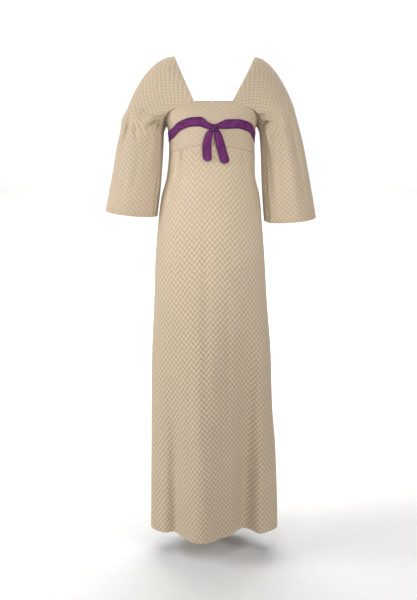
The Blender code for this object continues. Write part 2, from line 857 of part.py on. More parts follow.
def joined(name, parts, collection):
    """One object from several overlapping solids."""
    base = parts[0]
    for other in parts[1:]:
        union = base.modifiers.new("union", "BOOLEAN")
        union.operation = "UNION"
        union.solver = "EXACT"
        union.object = other
    bpy.context.view_layer.update()
    mesh = bpy.data.meshes.new_from_object(base.evaluated_get(
        bpy.context.evaluated_depsgraph_get()))
    mesh.transform(base.matrix_world)
    for part in parts:
        bpy.data.objects.remove(part)
    mesh.name = name
    whole = bpy.data.objects.new(name, mesh)
    collection.objects.link(whole)
    return whole


def add_box(name, centre, half, material, collection):
    """Plain box."""
    bpy.ops.mesh.primitive_cube_add(size=2.0, location=centre)
    box = bpy.context.active_object
    box.name = name
    box.scale = half
    box.data.materials.append(material)
    move_to(box, collection)
    bpy.context.view_layer.update()
    return box


def add_slider(metal, collection):
    """Zip slider: top plate, core between the cloth edges, ears and hinge pin."""
    plate = add_plate("slider_plate", rounded(SLIDER_HALF_WIDTH, SLIDER_HALF_LENGTH, 0.0015),
                      0.0018, metal, collection)
    plate.location = (0.0, 0.0015, 0.0)
    core = add_box("slider_core", (0.0, 0.0004, 0.0), (0.0014, 0.0006, 0.0036), metal, collection)
    parts = [plate, core]
    for sign in (-1, 1):
        ear = add_box("slider_ear", (sign * 0.0030, 0.0038, 0.0), (0.0007, 0.0020, 0.0013),
                      metal, collection)
        parts.append(ear)
    bpy.ops.mesh.primitive_cylinder_add(vertices=12, radius=PIN_RADIUS, depth=0.0060,
                                        location=(0.0, PIN_OFF, 0.0),
                                        rotation=(0.0, math.radians(90.0), 0.0))
    pin = bpy.context.active_object
    pin.name = "slider_pin"
    pin.data.materials.append(metal)
    move_to(pin, collection)
    parts.append(pin)
    slider = joined("zip_slider", parts, collection)
    slider.data.transform(slider_frame())
    return slider


def add_tab(metal, collection):
    """Pull tab: an eye round the pin and a flat blade with a hole near its end."""
    frame = slider_frame()
    bpy.ops.mesh.primitive_torus_add(major_segments=16, minor_segments=8,
                                     major_radius=0.0016, minor_radius=0.0006,
                                     rotation=(0.0, math.radians(90.0), 0.0))
    eye = bpy.context.active_object
    eye.name = "tab_eye"
    eye.scale = (1.0, 1.0, 2.4)
    eye.data.materials.append(metal)
    move_to(eye, collection)
    outline = tab_outline()
    hole = [(0.0011 * math.cos(step * math.pi / 6.0),
             -TAB_LENGTH + 0.0040 + 0.0018 * math.sin(step * math.pi / 6.0)) for step in range(12)]
    blade = add_plate("tab_blade", outline, 0.0009, metal, collection, holes=(hole,))
    tab = joined("zip_pull_tab", [eye, blade], collection)
    turn = frame.to_3x3().to_4x4()
    tab.data.transform(turn)
    tab.location = frame @ Vector((0.0, PIN_OFF, 0.0))
    return tab


def tab_outline():
    """Outline of the blade, from its shoulders under the eye to its rounded end."""
    points = [(-0.0012, -0.0017), (-0.0020, -0.0050), (-0.0025, -0.0120)]
    for step in range(9):
        angle = math.pi + math.pi * step / 8.0
        points.append((0.0029 * math.cos(angle), -TAB_LENGTH + 0.0029 + 0.0029 * math.sin(angle)))
    points += [(0.0025, -0.0120), (0.0020, -0.0050), (0.0012, -0.0017)]
    return points


def make_material(name, colour, roughness, metallic=0.0):
    """Plain surface for one kind of piece."""
    material = bpy.data.materials.new(name)
    material.use_nodes = True
    shader = material.node_tree.nodes["Principled BSDF"]
    shader.inputs["Base Color"].default_value = colour
    shader.inputs["Roughness"].default_value = roughness
    shader.inputs["Metallic"].default_value = metallic
    return material


def main():
    for thing in list(bpy.data.objects):
        bpy.data.objects.remove(thing)
    collection = bpy.data.collections.new("maxi_dress")
    bpy.context.scene.collection.children.link(collection)
    cloth = make_material("cloth", (0.58, 0.48, 0.36, 1.0), 0.9)
    ribbon = make_material("ribbon", (0.17, 0.03, 0.16, 1.0), 0.75)
    tape = make_material("zip_tape", (0.55, 0.46, 0.35, 1.0), 0.8)
    metal = make_material("zip_metal", (0.70, 0.62, 0.45, 1.0), 0.35, 1.0)
    add_body(cloth, collection)
    add_sleeve("sleeve_left", 1, LEFT_RINGS, LEFT_SLEEVE_FOLDS, cloth, collection)
    add_sleeve("sleeve_right", -1, RIGHT_RINGS, RIGHT_SLEEVE_FOLDS, cloth, collection)
    add_ribbon(ribbon, collection)
    add_knot(ribbon, collection)
    add_tail("ribbon_tail_left", TAIL_LEFT_ROWS, TAIL_LEFT_END, ribbon, collection)
    add_tail("ribbon_tail_right", TAIL_RIGHT_ROWS, TAIL_RIGHT_END, ribbon, collection)
    add_zip_tape(tape, collection)
    add_slider(metal, collection)
    add_tab(metal, collection)


if __name__ == "__main__":
    main()
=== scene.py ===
"""Maxi dress in a diamond weave, with a ribbon tie: its cloth, sewing, zip and stage.

Metres, +Z up. The front faces -Y and the wearer's left is +X. Each panel is a thin shell
on the form of its solid, cut and folded by the tables below.
"""

import math
from functools import partial

import bmesh
import bpy
import numpy as np
from bpy.props import FloatProperty, IntProperty, PointerProperty, StringProperty
from bpy.types import Operator, Panel, PropertyGroup
from mathutils import Matrix, Vector


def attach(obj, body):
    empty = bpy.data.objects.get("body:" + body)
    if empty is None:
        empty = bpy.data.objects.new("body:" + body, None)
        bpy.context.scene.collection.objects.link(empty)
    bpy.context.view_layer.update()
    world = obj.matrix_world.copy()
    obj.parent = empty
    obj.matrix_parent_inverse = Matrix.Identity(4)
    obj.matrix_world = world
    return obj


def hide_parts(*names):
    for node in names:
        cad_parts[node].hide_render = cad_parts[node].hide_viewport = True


bl_info = {
    "name": "Maxi Dress",
    "version": (1, 0, 0),
    "blender": (4, 5, 0),
    "location": "View3D > Sidebar > Dress",
    "description": "Builds the cloth, sewing, zip and stage of an Empire-line maxi dress",
    "category": "Add Mesh",
}

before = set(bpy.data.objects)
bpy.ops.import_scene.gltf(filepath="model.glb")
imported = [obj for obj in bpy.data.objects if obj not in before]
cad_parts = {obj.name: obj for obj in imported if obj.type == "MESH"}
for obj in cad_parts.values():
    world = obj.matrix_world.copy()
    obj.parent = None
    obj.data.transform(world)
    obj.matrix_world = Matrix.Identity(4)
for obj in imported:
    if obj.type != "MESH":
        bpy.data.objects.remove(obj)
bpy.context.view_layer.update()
DRESS = "dress"
TAB = "pull_tab"

# How far each edge runs past its seam line, and heights on the middle line
SEAM_LAP = 0.00012
HAIR = 1e-12
NECK_FRONT = -0.117
NECK_BACK = -0.121
HEM = -1.370
HEM_DIP = 0.10

# Neck corners, in degrees round the body from the middle front, and the front ones' mean
CORNER_RIGHT_SIDE = -28.0
CORNER_LEFT_SIDE = 29.8
CORNER_MEAN = 29.0
CORNER_BACK = 140.0
SHOULDER_LEFT_SIDE = (0.1125, 0.0, 0.0)
SHOULDER_RIGHT_SIDE = (-0.1060, 0.0, 0.002)
NECK_BOW = 0.062

# Body sections: height, centre x, half width, front depth, back depth, squareness
SECTIONS = (
    (-1.400, 0.0035, 0.1905, 0.076, 0.153, 2.10),
    (-1.370, 0.0035, 0.1900, 0.077, 0.152, 2.10),
    (-1.133, 0.0010, 0.1835, 0.091, 0.144, 2.10),
    (-0.982, -0.0040, 0.1765, 0.102, 0.139, 2.10),
    (-0.833, -0.0055, 0.1720, 0.111, 0.134, 2.10),
    (-0.676, -0.0080, 0.1615, 0.117, 0.129, 2.10),
    (-0.556, -0.0095, 0.1550, 0.117, 0.126, 2.10),
    (-0.450, -0.0095, 0.1455, 0.114, 0.119, 2.10),
    (-0.383, -0.0080, 0.1375, 0.111, 0.108, 2.15),
    (-0.317, -0.0065, 0.1220, 0.108, 0.094, 2.20),
    (-0.260, -0.0045, 0.1188, 0.108, 0.087, 2.25),
    (-0.240, -0.0045, 0.1180, 0.110, 0.088, 2.30),
    (-0.221, -0.0048, 0.1172, 0.113, 0.091, 2.35),
    (-0.205, -0.0050, 0.1190, 0.1155, 0.094, 2.40),
    (-0.185, -0.0055, 0.1225, 0.1165, 0.096, 2.45),
    (-0.165, -0.0050, 0.1280, 0.1135, 0.095, 2.65),
    (-0.140, -0.0040, 0.1330, 0.105, 0.091, 2.90),
    (-0.117, -0.0030, 0.1360, 0.094, 0.084, 3.00),
    (-0.090, -0.0030, 0.1360, 0.084, 0.078, 3.00),
)

# Steps for slopes of the body's surface, and the share of its forward direction over which
# folds fade in
TURN_STEP = 0.004
HEIGHT_STEP = 0.0012
SEAM_STEP = 0.01
FOLD_FADE = 0.35

# Searches on the surface: reach either way, halvings, points on a run round the body
FRONT_REACH = 0.9
HALVINGS = 30
FINE_TURNS = 600

# Folds that grow to the hem: side (-1 front, 1 back), x and height at the start,
# x at the hem, half width at the start and at the hem, push outwards at the hem
HEM_FOLDS = (
    (-1, -0.030, -0.480, -0.035, 0.110, 0.088, 0.044),
    (-1, 0.101, -0.500, 0.091, 0.040, 0.052, -0.041),
    (-1, 0.152, -0.700, 0.143, 0.020, 0.025, 0.003),
    (-1, -0.106, -0.800, -0.114, 0.026, 0.030, -0.016),
    (1, -0.070, -0.520, -0.082, 0.050, 0.058, 0.020),
    (1, 0.060, -0.600, 0.070, 0.046, 0.052, 0.016),
    (1, -0.006, -0.450, -0.010, 0.030, 0.040, -0.013),
    (1, 0.128, -0.760, 0.136, 0.028, 0.034, -0.012),
    (1, -0.132, -0.820, -0.140, 0.024, 0.030, -0.009),
)

# Creases that fade at both ends: side, x and height at the top, x and height at the
# bottom, half width, push outwards. The first three are the solids' own.
CREASES = (
    (-1, -0.087, -0.236, -0.104, -0.400, 0.016, -0.0035),
    (-1, 0.078, -0.236, 0.088, -0.330, 0.014, -0.0025),
    (-1, -0.020, -0.340, -0.022, -1.300, 0.022, -0.0025),
    (-1, 0.040, -0.560, 0.046, -1.180, 0.016, -0.0016),
    (-1, -0.064, -0.780, -0.070, -1.330, 0.015, -0.0018),
    (-1, 0.118, -0.300, 0.126, -0.520, 0.010, -0.0014),
    (-1, -0.114, -0.300, -0.124, -0.470, 0.011, -0.0016),
    (-1, 0.012, -0.900, 0.018, -1.350, 0.012, 0.0014),
    (-1, -0.046, -0.236, -0.050, -0.300, 0.008, -0.0010),
    (-1, 0.030, -0.238, 0.034, -0.285, 0.007, -0.0008),
    (1, 0.084, -0.262, 0.094, -0.420, 0.014, -0.0028),
    (1, -0.090, -0.262, -0.104, -0.390, 0.015, -0.0030),
    (1, 0.036, -0.480, 0.030, -1.250, 0.018, -0.0022),
    (1, -0.040, -0.640, -0.046, -1.330, 0.016, -0.0020),
    (1, 0.104, -0.560, 0.116, -1.200, 0.014, -0.0020),
    (1, -0.110, -0.420, -0.118, -0.760, 0.012, -0.0016),
    (1, 0.012, -0.300, 0.014, -0.440, 0.010, -0.0010),
)

# Height of the ribbon's middle line, over the seam: turn, height
RIBBON_LINE = (
    (-180.0, -0.2320),
    (-135.0, -0.2280),
    (-90.0, -0.2175),
    (-57.0, -0.2000),
    (-40.0, -0.1780),
    (-26.0, -0.1680),
    (-16.0, -0.1670),
    (-3.0, -0.1780),
    (3.0, -0.1790),
    (20.0, -0.1735),
    (33.0, -0.1730),
    (43.0, -0.1775),
    (54.0, -0.1860),
    (65.0, -0.2005),
    (90.0, -0.2175),
    (135.0, -0.2280),
    (180.0, -0.2320),
)
RIBBON_HALF = 0.012
RIBBON_DRAWN_HALF = 0.0055
RIBBON_DRAWN_SPAN = 0.034
RIBBON_NEAR = math.radians(16.0)
RIBBON_NEAR_COLUMNS = 60

# Waves in the ribbon's lie: height, waves round the body, start
RIBBON_WAVES = ((0.0003, 7.0, 1.0), (0.0002, 17.0, 0.0))
PLEATS_ACROSS = 2.6
PLEAT_WANDER = 0.35

# Height of the slanting sleeve seams, from the neck corner at 0 to the armpit at 1
FRONT_SEAM = (
    (0.00, -0.1170),
    (0.25, -0.1290),
    (0.50, -0.1460),
    (0.75, -0.1670),
    (1.00, -0.1850),
)
BACK_SEAM = (
    (0.00, -0.1210),
    (0.30, -0.1360),
    (0.60, -0.1570),
    (0.85, -0.1760),
    (1.00, -0.1850),
)
SKIRT_SEAM_FRONT = -0.229
SKIRT_SEAM_SIDE = -0.256
SKIRT_SEAM_BACK = -0.247

# Sleeve rings from armpit level to cuff: over-arm x and z, under-arm x and z, front
# depth, back depth (x is measured away from the middle)
LEFT_RINGS = (
    (0.0, 0.2235, -0.1450, 0.1265, -0.2060, 0.078, 0.074),
    (1.0, 0.2465, -0.2280, 0.1305, -0.2560, 0.081, 0.076),
    (2.0, 0.2650, -0.3170, 0.1340, -0.3360, 0.084, 0.078),
    (3.0, 0.2875, -0.4345, 0.1415, -0.4460, 0.087, 0.079),
)
RIGHT_RINGS = (
    (0.0, 0.2385, -0.1450, 0.1365, -0.2060, 0.074, 0.071),
    (1.0, 0.2645, -0.2280, 0.1390, -0.2540, 0.072, 0.073),
    (2.0, 0.2810, -0.3170, 0.1450, -0.3340, 0.068, 0.075),
    (3.0, 0.3025, -0.4175, 0.1565, -0.4325, 0.065, 0.077),
)
SLEEVE_SQUARE = 2.2

# Start of each line over the sleeve head: angle from the over-arm line towards the
# underarm, direction away from the middle, backwards and up, length
HEAD_LINES = (
    (0.0, 1.00, 0.00, 0.00, 0.135),
    (45.0, 1.00, -0.12, -0.04, 0.120),
    (90.0, 1.00, 0.10, -0.12, 0.095),
    (120.0, 0.90, 0.22, -0.25, 0.060),
    (150.0, 0.50, 0.15, -0.80, 0.030),
    (180.0, 0.05, 0.00, -1.00, 0.018),
)
HEAD_REACH_LEFT = 1.0
HEAD_REACH_RIGHT = 1.45
REACH_FADE = 60.0
SLOPE_ROW = 0.02

# The sleeve's seam edge leaves the bodice's: turn in degrees at the armpit, growth in laps
ARMPIT_TILT = 170.0
ARMPIT_GROWTH = 6.0

# Length of each head line's end, where it runs down into the sleeve
HEAD_ENDS = (
    (0.0, 0.165),
    (45.0, 0.130),
    (90.0, 0.095),
    (135.0, 0.050),
    (180.0, 0.018),
)

# Folds in the sleeves: start angle and row, end angle and row, half width, push
# outwards (angle 0 over the arm, 90 front, 180 under the arm; row -1 at the neck, 0
# at armpit level, 1 at the cuff). These are the solids' own.
LEFT_SLEEVE_FOLDS = (
    (52.0, 0.02, 50.0, 0.80, 0.020, -0.007),
    (82.0, -0.15, 74.0, 0.90, 0.022, 0.005),
    (122.0, -0.10, 118.0, 0.35, 0.018, 0.004),
    (140.0, 0.00, 128.0, 0.90, 0.016, -0.005),
    (-60.0, -0.10, -52.0, 0.75, 0.024, -0.007),
    (-95.0, -0.20, -88.0, 0.80, 0.022, 0.005),
)
RIGHT_SLEEVE_FOLDS = (
    (40.0, -0.05, 42.0, 0.45, 0.016, -0.007),
    (60.0, -0.02, 100.0, -0.30, 0.016, 0.006),
    (128.0, 0.05, 120.0, 0.55, 0.020, 0.004),
    (-55.0, -0.15, -60.0, 0.70, 0.024, -0.007),
    (-90.0, -0.10, -96.0, 0.85, 0.022, 0.005),
)
# Metres for a degree round a sleeve and for a row down it, share of a fold's depth that holds
# to its ends, and the run over which folds begin at the neck edge
SLEEVE_FOLD_AROUND = 0.00135
SLEEVE_FOLD_DOWN = 0.24
SLEEVE_FOLD_HOLD = 0.35
SLEEVE_FOLD_START = 0.02

# Creases that fan out of the armpits and run down the sleeves: start angle and row, end
# angle and row, place of the deepest point from 0 to 1, half width, push outwards
LEFT_SLEEVE_CREASES = (
    (101.0, -0.54, 122.0, -0.50, 0.6, 0.0050, -0.0030),
    (144.0, -0.46, 92.0, -0.08, 0.3, 0.0068, -0.0100),
    (138.0, -0.46, 154.0, 0.06, 0.3, 0.0070, -0.0085),
    (124.0, -0.26, 136.0, 0.45, 0.3, 0.0120, 0.0060),
    (118.0, -0.62, 80.0, -0.34, 0.3, 0.0110, 0.0052),
    (98.0, -0.40, 80.0, 0.16, 0.5, 0.0200, -0.0085),
    (116.0, -0.08, 122.0, 0.60, 0.3, 0.0110, -0.0050),
    (128.0, -0.52, 88.0, -0.34, 0.3, 0.0100, -0.0030),
    (148.0, 0.10, 147.0, 1.10, 0.6, 0.0130, -0.0100),
    (-142.0, -0.44, -104.0, -0.30, 0.2, 0.0065, -0.0060),
    (-140.0, -0.42, -152.0, 0.02, 0.3, 0.0065, -0.0060),
    (-124.0, -0.18, -132.0, 0.40, 0.4, 0.0110, 0.0036),
    (24.0, 0.20, 28.0, 0.86, 0.5, 0.0150, -0.0020),
    (100.0, 0.30, 98.0, 0.95, 0.5, 0.0140, -0.0016),
    (-24.0, 0.10, -20.0, 0.80, 0.5, 0.0150, -0.0020),
)
RIGHT_SLEEVE_CREASES = (
    (118.0, -0.50, 98.0, -0.22, 0.2, 0.0045, -0.0044),
    (128.0, -0.46, 96.0, 0.12, 0.45, 0.0074, -0.0098),
    (122.0, -0.42, 148.0, 0.20, 0.3, 0.0062, -0.0078),
    (84.0, -0.44, 70.0, 0.06, 0.5, 0.0210, -0.0065),
    (132.0, -0.34, 156.0, 0.40, 0.3, 0.0080, 0.0038),
    (110.0, -0.40, 82.0, -0.06, 0.4, 0.0120, 0.0050),
    (54.0, -0.04, 88.0, 0.30, 0.4, 0.0100, -0.0060),
    (34.0, 0.00, 46.0, 0.36, 0.4, 0.0085, -0.0050),
    (92.0, 0.02, 58.0, 0.18, 0.3, 0.0140, -0.0030),
    (2.0, -0.06, 4.0, 0.24, 0.5, 0.0300, 0.0060),
    (-116.0, -0.48, -96.0, -0.20, 0.2, 0.0050, -0.0040),
    (-130.0, -0.46, -102.0, 0.10, 0.2, 0.0070, -0.0060),
    (-124.0, -0.40, -148.0, 0.16, 0.3, 0.0060, -0.0050),
    (96.0, 0.20, 84.0, 0.92, 0.5, 0.0140, -0.0022),
    (150.0, 0.45, 150.0, 1.05, 0.7, 0.0120, -0.0060),
    (62.0, 0.45, 66.0, 0.97, 0.5, 0.0130, -0.0014),
    (-22.0, 0.15, -26.0, 0.86, 0.5, 0.0150, -0.0020),
)
CREASE_STEPS = 14

# Share of the weave's contrast that shows on each panel, as the light falls on it
BOLD_SLEEVE = 0.62
BOLD_BODICE = 0.24
BOLD_SKIRT_TOP = 0.60
BOLD_RUN = 0.40
WEAVE_MEAN = 0.42
SLEEVE_WEAVE_PRESS = 1.2
SLEEVE_GRAIN = 12.0

# Rings of a woven diamond: place from its edge at 0 to its middle at 1, share of tan
DIAMOND_RINGS = (
    (0.00, 1.00),
    (0.16, 0.95),
    (0.30, 0.05),
    (0.46, 0.00),
    (0.56, 0.55),
    (0.68, 0.05),
    (1.00, 0.10),
)

# Seam and hem sizes. The armpit's tuck starts at a share of the way from the neck corner.
EDGE_STEPS = (0.0, 0.0005, 0.0011, 0.0019, 0.0030, 0.0045)
TUCK_WIDTH = 0.0034
SLEEVE_SEAM_TUCK = 0.12
ARMPIT_TUCK = 2.2
UNDERARM_FROM = 88.0
UNDERARM_FADE = 6.0
ARMPIT_START = 0.35
ARMPIT_RUN = 0.5
SKIRT_SEAM_TUCK = 2.2
MIDRIFF_SEAM_TUCK = 1.4
SLEEVE_TURN = 3.12
TURNED_SHARE = 0.9
TURNED_FADE = 0.002

# Groove of the cuff's hem stitching, how deep the stitches lie, and the run of one pucker and
# of its wander
CUFF_DEPTH = 0.0007
CUFF_PUCKER = 0.0005
CUFF_HALF = 0.0030
CUFF_STITCH_SUNK = 0.0004
PUCKER_RUN = 0.0085
PUCKER_WANDER = 0.031

# Darts in the skirt seam: x and height at the seam, x and height at the point. Each starts
# under the seam edge, holds its depth over a share of its length and has close columns.
DARTS = (
    (-0.0870, -0.2290, -0.0905, -0.3050),
    (0.0745, -0.2290, 0.0780, -0.2960),
)
DART_HALF = 0.0030
DART_START = 0.005
DART_HOLD = 0.4
DART_COLUMNS = 15
DART_SPREAD = 1.7
COLUMN_GAP = 0.0020

# Knot: middle x and height, half sizes, slant of its wrap, groove depth
KNOT_X = 0.002
KNOT_HEIGHT = -0.179
KNOT_HALF = (0.0108, 0.0056, 0.0095)
KNOT_DROP = 0.0027
KNOT_SLANT = math.radians(48.0)
KNOT_GROOVE = 0.0014

# Form of the knot over its slanting wrap: roundness, half width of the wrap, depth, place and
# half width of its rims, height, waves, wander and half width of its pleats, sag and its waves
KNOT_ROUND = 0.92
KNOT_WRAP_HALF = 0.95
KNOT_RIM = (1.3, 0.72, 0.20)
KNOT_PLEATS = (0.22, 15.0, 1.4, 0.7)
KNOT_SAG = (0.0012, 2.4)

# Tail rows: share of the length, middle x, half width, distance off the cloth
TAIL_LEFT_ROWS = (
    (0.00, 0.0066, 0.0050, 0.0050),
    (0.12, 0.0100, 0.0092, 0.0056),
    (0.30, 0.0140, 0.0115, 0.0052),
    (0.50, 0.0190, 0.0120, 0.0044),
    (0.70, 0.0240, 0.0122, 0.0040),
    (0.86, 0.0275, 0.0122, 0.0042),
    (1.00, 0.0300, 0.0122, 0.0046),
)
TAIL_RIGHT_ROWS = (
    (0.00, -0.0052, 0.0042, 0.0050),
    (0.12, -0.0110, 0.0088, 0.0054),
    (0.30, -0.0150, 0.0105, 0.0050),
    (0.50, -0.0175, 0.0116, 0.0042),
    (0.70, -0.0175, 0.0120, 0.0038),
    (0.86, -0.0165, 0.0120, 0.0040),
    (1.00, -0.0160, 0.0120, 0.0044),
)
TAIL_TOP = -0.1850
TAIL_LEFT_END = -0.2775
TAIL_RIGHT_END = -0.2710
TAIL_TIP_RADIUS = 0.0122
TAIL_TIP_BLUNT = 0.00008
RIBBON_WALL = 0.0012
RIBBON_CROWN = 0.0004
RIBBON_SETTLE = 0.0002
TAIL_CURL = 0.0012
TAIL_TWIST = 0.0006
TAIL_RISE = 0.0009
PLEAT_DEPTH = 0.0016

# Zip at the middle back: lengths, levels off the cloth and half sizes
ZIP_EDGE_HALF = 0.0022
ZIP_END = -0.455
ZIP_CLOSING = 0.010
ZIP_TOP = -0.1235
TAPE_OVER = 0.0022
TAPE_LEVEL = -0.0026
TAPE_THICK = 0.0006
CHAIN_LEVEL = -0.0011
CHAIN_SHORT = 0.004
TOOTH_OFF = 0.0006
SLIDER_HEIGHT = -0.1330
SLIDER_HALF = (0.0042, 0.0009, 0.0055)
SLIDER_LIFT = 0.0015
CORE = ((0.0, 0.0003, 0.0), (0.0014, 0.0007, 0.0036))
EAR_HALF = (0.0007, 0.0020, 0.0013)
EAR_SPOT = (0.0030, 0.0038)
PIN_OFF = 0.0050
PIN_RADIUS = 0.0006
PIN_LENGTH = 0.0066
TAB_LENGTH = 0.024
TAB_HALF = 0.0029
TAB_THICK = 0.0009
EYE_RADIUS = 0.0016
EYE_WIRE = 0.0006
TAB_NECK_HALF = 0.0014
TAB_TOP = -0.0019
HOLE_RADIUS = 0.0011
HOLE_UP = 0.0040

# Cove of the backdrop: half width, depth, radius of its bend and height
COVE_HALF = 14.0
COVE_DEPTH = 9.0
COVE_BEND = 2.5
COVE_HEIGHT = 12.0
CAMERA_X = -0.0137
CAMERA_HEIGHT = -0.018

# Lights: name, place, target, setting of its power, width and height, spread in degrees
LIGHTS = (
    ("key_softbox", (-2.1, -0.7, 0.1), (0.0, 0.0, -0.35), "key", (1.1, 1.4), 180.0),
    ("fill_softbox", (1.45, -1.9, 0.3), (0.0, 0.0, -0.3), "fill", (1.0, 1.0), 180.0),
    ("top_softbox", (-0.2, -2.0, 1.4), (0.0, 0.0, -0.25), "top", (1.2, 0.9), 180.0),
    ("grid_softbox", (-0.1, -2.3, 0.5), (0.01, 0.0, -0.47), "pool", (0.24, 0.36), 17.0),
    ("floor_softbox", (0.0, 1.6, 2.2), (0.0, 0.5, -1.46), "ground", (3.0, 1.2), 180.0),
    ("backdrop_softbox", (0.0, 2.2, 3.2), (0.0, 8.5, 0.2), "backdrop", (6.0, 2.0), 180.0),
)


def ease(value):
    """Ease from 0 to 1, held outside that range."""
    value = np.clip(value, 0.0, 1.0)
    return value * value * (3.0 - 2.0 * value)


def hump(away):
    """Soft ridge, 1 in the middle and 0 from one half width away."""
    return np.where(np.abs(away) < 1.0, 0.5 * (1.0 + np.cos(np.pi * away)), 0.0)


def curve(part, start, lead, end, tail):
    """Points on a smooth curve that leaves its start along lead and meets its end along tail."""
    square = part * part
    cube = square * part
    point = (2 * cube - 3 * square + 1) * start + (cube - 2 * square + part) * lead
    return point + (3 * square - 2 * cube) * end + (cube - square) * tail


def columns_at(table, key):
    """Columns of a table at each key, on smooth curves that never overshoot its rows."""
    rows = np.asarray(table, float)
    keys = rows[:, 0]
    span = np.diff(keys)[:, None]
    slope = np.diff(rows[:, 1:], axis=0) / span
    product = slope[:-1] * slope[1:]
    total = np.where(product > 0.0, slope[:-1] + slope[1:], 1.0)
    bend = np.where(product > 0.0, 2.0 * product / total, 0.0)
    lead = np.vstack((slope[:1], bend))
    tail = np.vstack((bend, slope[-1:]))
    key = np.clip(key, keys[0], keys[-1])
    row = np.clip(np.searchsorted(keys, key, side="right") - 1, 0, len(keys) - 2)
    part = ((key - keys[row]) / span[row, 0])[..., None]
    found = curve(part, rows[row, 1:], span[row] * lead[row],
                  rows[row + 1, 1:], span[row] * tail[row])
    return np.moveaxis(found, -1, 0)


def unit(vectors):
    """Vectors at length 1."""
    return vectors / np.maximum(np.linalg.norm(vectors, axis=-1, keepdims=True), HAIR)


def fold_push(x, forward, height):
    """Outward push of the body's folds at an x, fading where the body turns to its sides."""
    side = np.where(forward > 0.0, -1.0, 1.0)
    push = np.zeros_like(x)
    for fold_side, x_top, top, x_hem, half_top, half_hem, depth in HEM_FOLDS:
        part = np.clip((top - height) / (top - HEM), 0.0, None)
        away = (x - x_top - (x_hem - x_top) * part) / (half_top + (half_hem - half_top) * part)
        here = (fold_side == side) & (height <= top)
        push += np.where(here, depth * ease(part) * hump(away), 0.0)
    for fold_side, x_top, top, x_end, end, half, depth in CREASES:
        part = (top - height) / (top - end)
        away = (x - x_top - (x_end - x_top) * part) / half
        here = (fold_side == side) & (part >= 0.0) & (part <= 1.0)
        push += np.where(here, depth * np.sin(np.pi * part) * hump(away), 0.0)
    return push * ease(np.abs(forward) / FOLD_FADE)


def body_form(turn, height):
    """Outside of bodice, midriff and skirt at turns in radians and heights."""
    turn, height = np.broadcast_arrays(np.asarray(turn, float), np.asarray(height, float))
    centre, half, front, back, square = columns_at(SECTIONS, height)
    across = np.sin(turn)
    forward = np.cos(turn)
    depth = np.where(forward > 0.0, front, back)
    radius = (np.abs(across) / half) ** square + (np.abs(forward) / depth) ** square
    radius = radius ** (-1.0 / square)
    x = centre + radius * across
    push = fold_push(x, forward, height)
    y = np.where(forward > 0.0, -push, push) - radius * forward
    return np.stack((x, y, height), axis=-1)


def body_out(turn, height):
    """Outward direction of the body's surface."""
    around = body_form(turn + TURN_STEP, height) - body_form(turn - TURN_STEP, height)
    up = body_form(turn, height + HEIGHT_STEP) - body_form(turn, height - HEIGHT_STEP)
    return unit(np.cross(around, up))


def body_at(turn, height, off):
    """Points at a distance off the body's surface."""
    return body_form(turn, height) + np.asarray(off)[..., None] * body_out(turn, height)


def ribbon_line(turn):
    """Height of the ribbon's middle line and of the seam under it."""
    degrees = np.degrees(turn)
    degrees = np.where(degrees > 180.0, degrees - 360.0, degrees)
    return columns_at(RIBBON_LINE, degrees)[0]


def sleeve_seam(turn):
    """Top edge of the bodice under the sleeve seam."""
    degrees = np.degrees(turn)
    away = np.abs(degrees)
    behind = columns_at(BACK_SEAM, (CORNER_BACK - away) / (CORNER_BACK - 90.0))[0]
    corner = np.where(degrees > 0.0, CORNER_LEFT_SIDE, -CORNER_RIGHT_SIDE)
    before = columns_at(FRONT_SEAM, (away - corner) / (90.0 - corner))[0]
    return np.where(away > 90.0, behind, before)


def bodice_top(turn):
    """Top edge of the bodice: neck edge between the corners, sleeve seam outside them."""
    degrees = np.degrees(turn)
    top = sleeve_seam(turn)
    neck = (degrees >= CORNER_RIGHT_SIDE) & (degrees <= CORNER_LEFT_SIDE)
    top = np.where(neck, NECK_FRONT, top)
    return np.where(np.abs(degrees) >= CORNER_BACK, NECK_BACK, top)


def lapped(line, sign):
    """A seam line moved by the lap, down at -1 and up at 1."""
    return lambda turn: line(turn) + sign * SEAM_LAP


def skirt_seam(turn):
    """Seam between midriff band and skirt."""
    forward = np.cos(turn)
    level = np.where(forward > 0.0, SKIRT_SEAM_FRONT, SKIRT_SEAM_BACK)
    return SKIRT_SEAM_SIDE + (level - SKIRT_SEAM_SIDE) * forward * forward


def hem_line(turn):
    """Hem, which hangs a little lower where a fold comes forward."""
    level = np.full_like(np.asarray(turn, float), HEM)
    return HEM - HEM_DIP * fold_push(body_form(turn, level)[..., 0], np.cos(turn), level)


def front_turn(x, height):
    """Turn of the front surface where it has the given x."""
    low = np.full(np.broadcast(x, height).shape, -FRONT_REACH)
    high = -low
    for _ in range(HALVINGS):
        middle = 0.5 * (low + high)
        short = body_form(middle, height)[..., 0] < x
        low = np.where(short, middle, low)
        high = np.where(short, high, middle)
    return 0.5 * (low + high)


def back_turn(x, height):
    """Turn near the middle back where the surface has the given x."""
    reach = body_form(np.full(np.shape(height), np.pi), height)[..., 1]
    return np.pi - np.arctan2(x, reach)


def zip_edge(height):
    """Distance of a centre-back edge from the middle line."""
    closing = ease((ZIP_END - height) / ZIP_CLOSING)
    return ZIP_EDGE_HALF - (SEAM_LAP + ZIP_EDGE_HALF) * closing


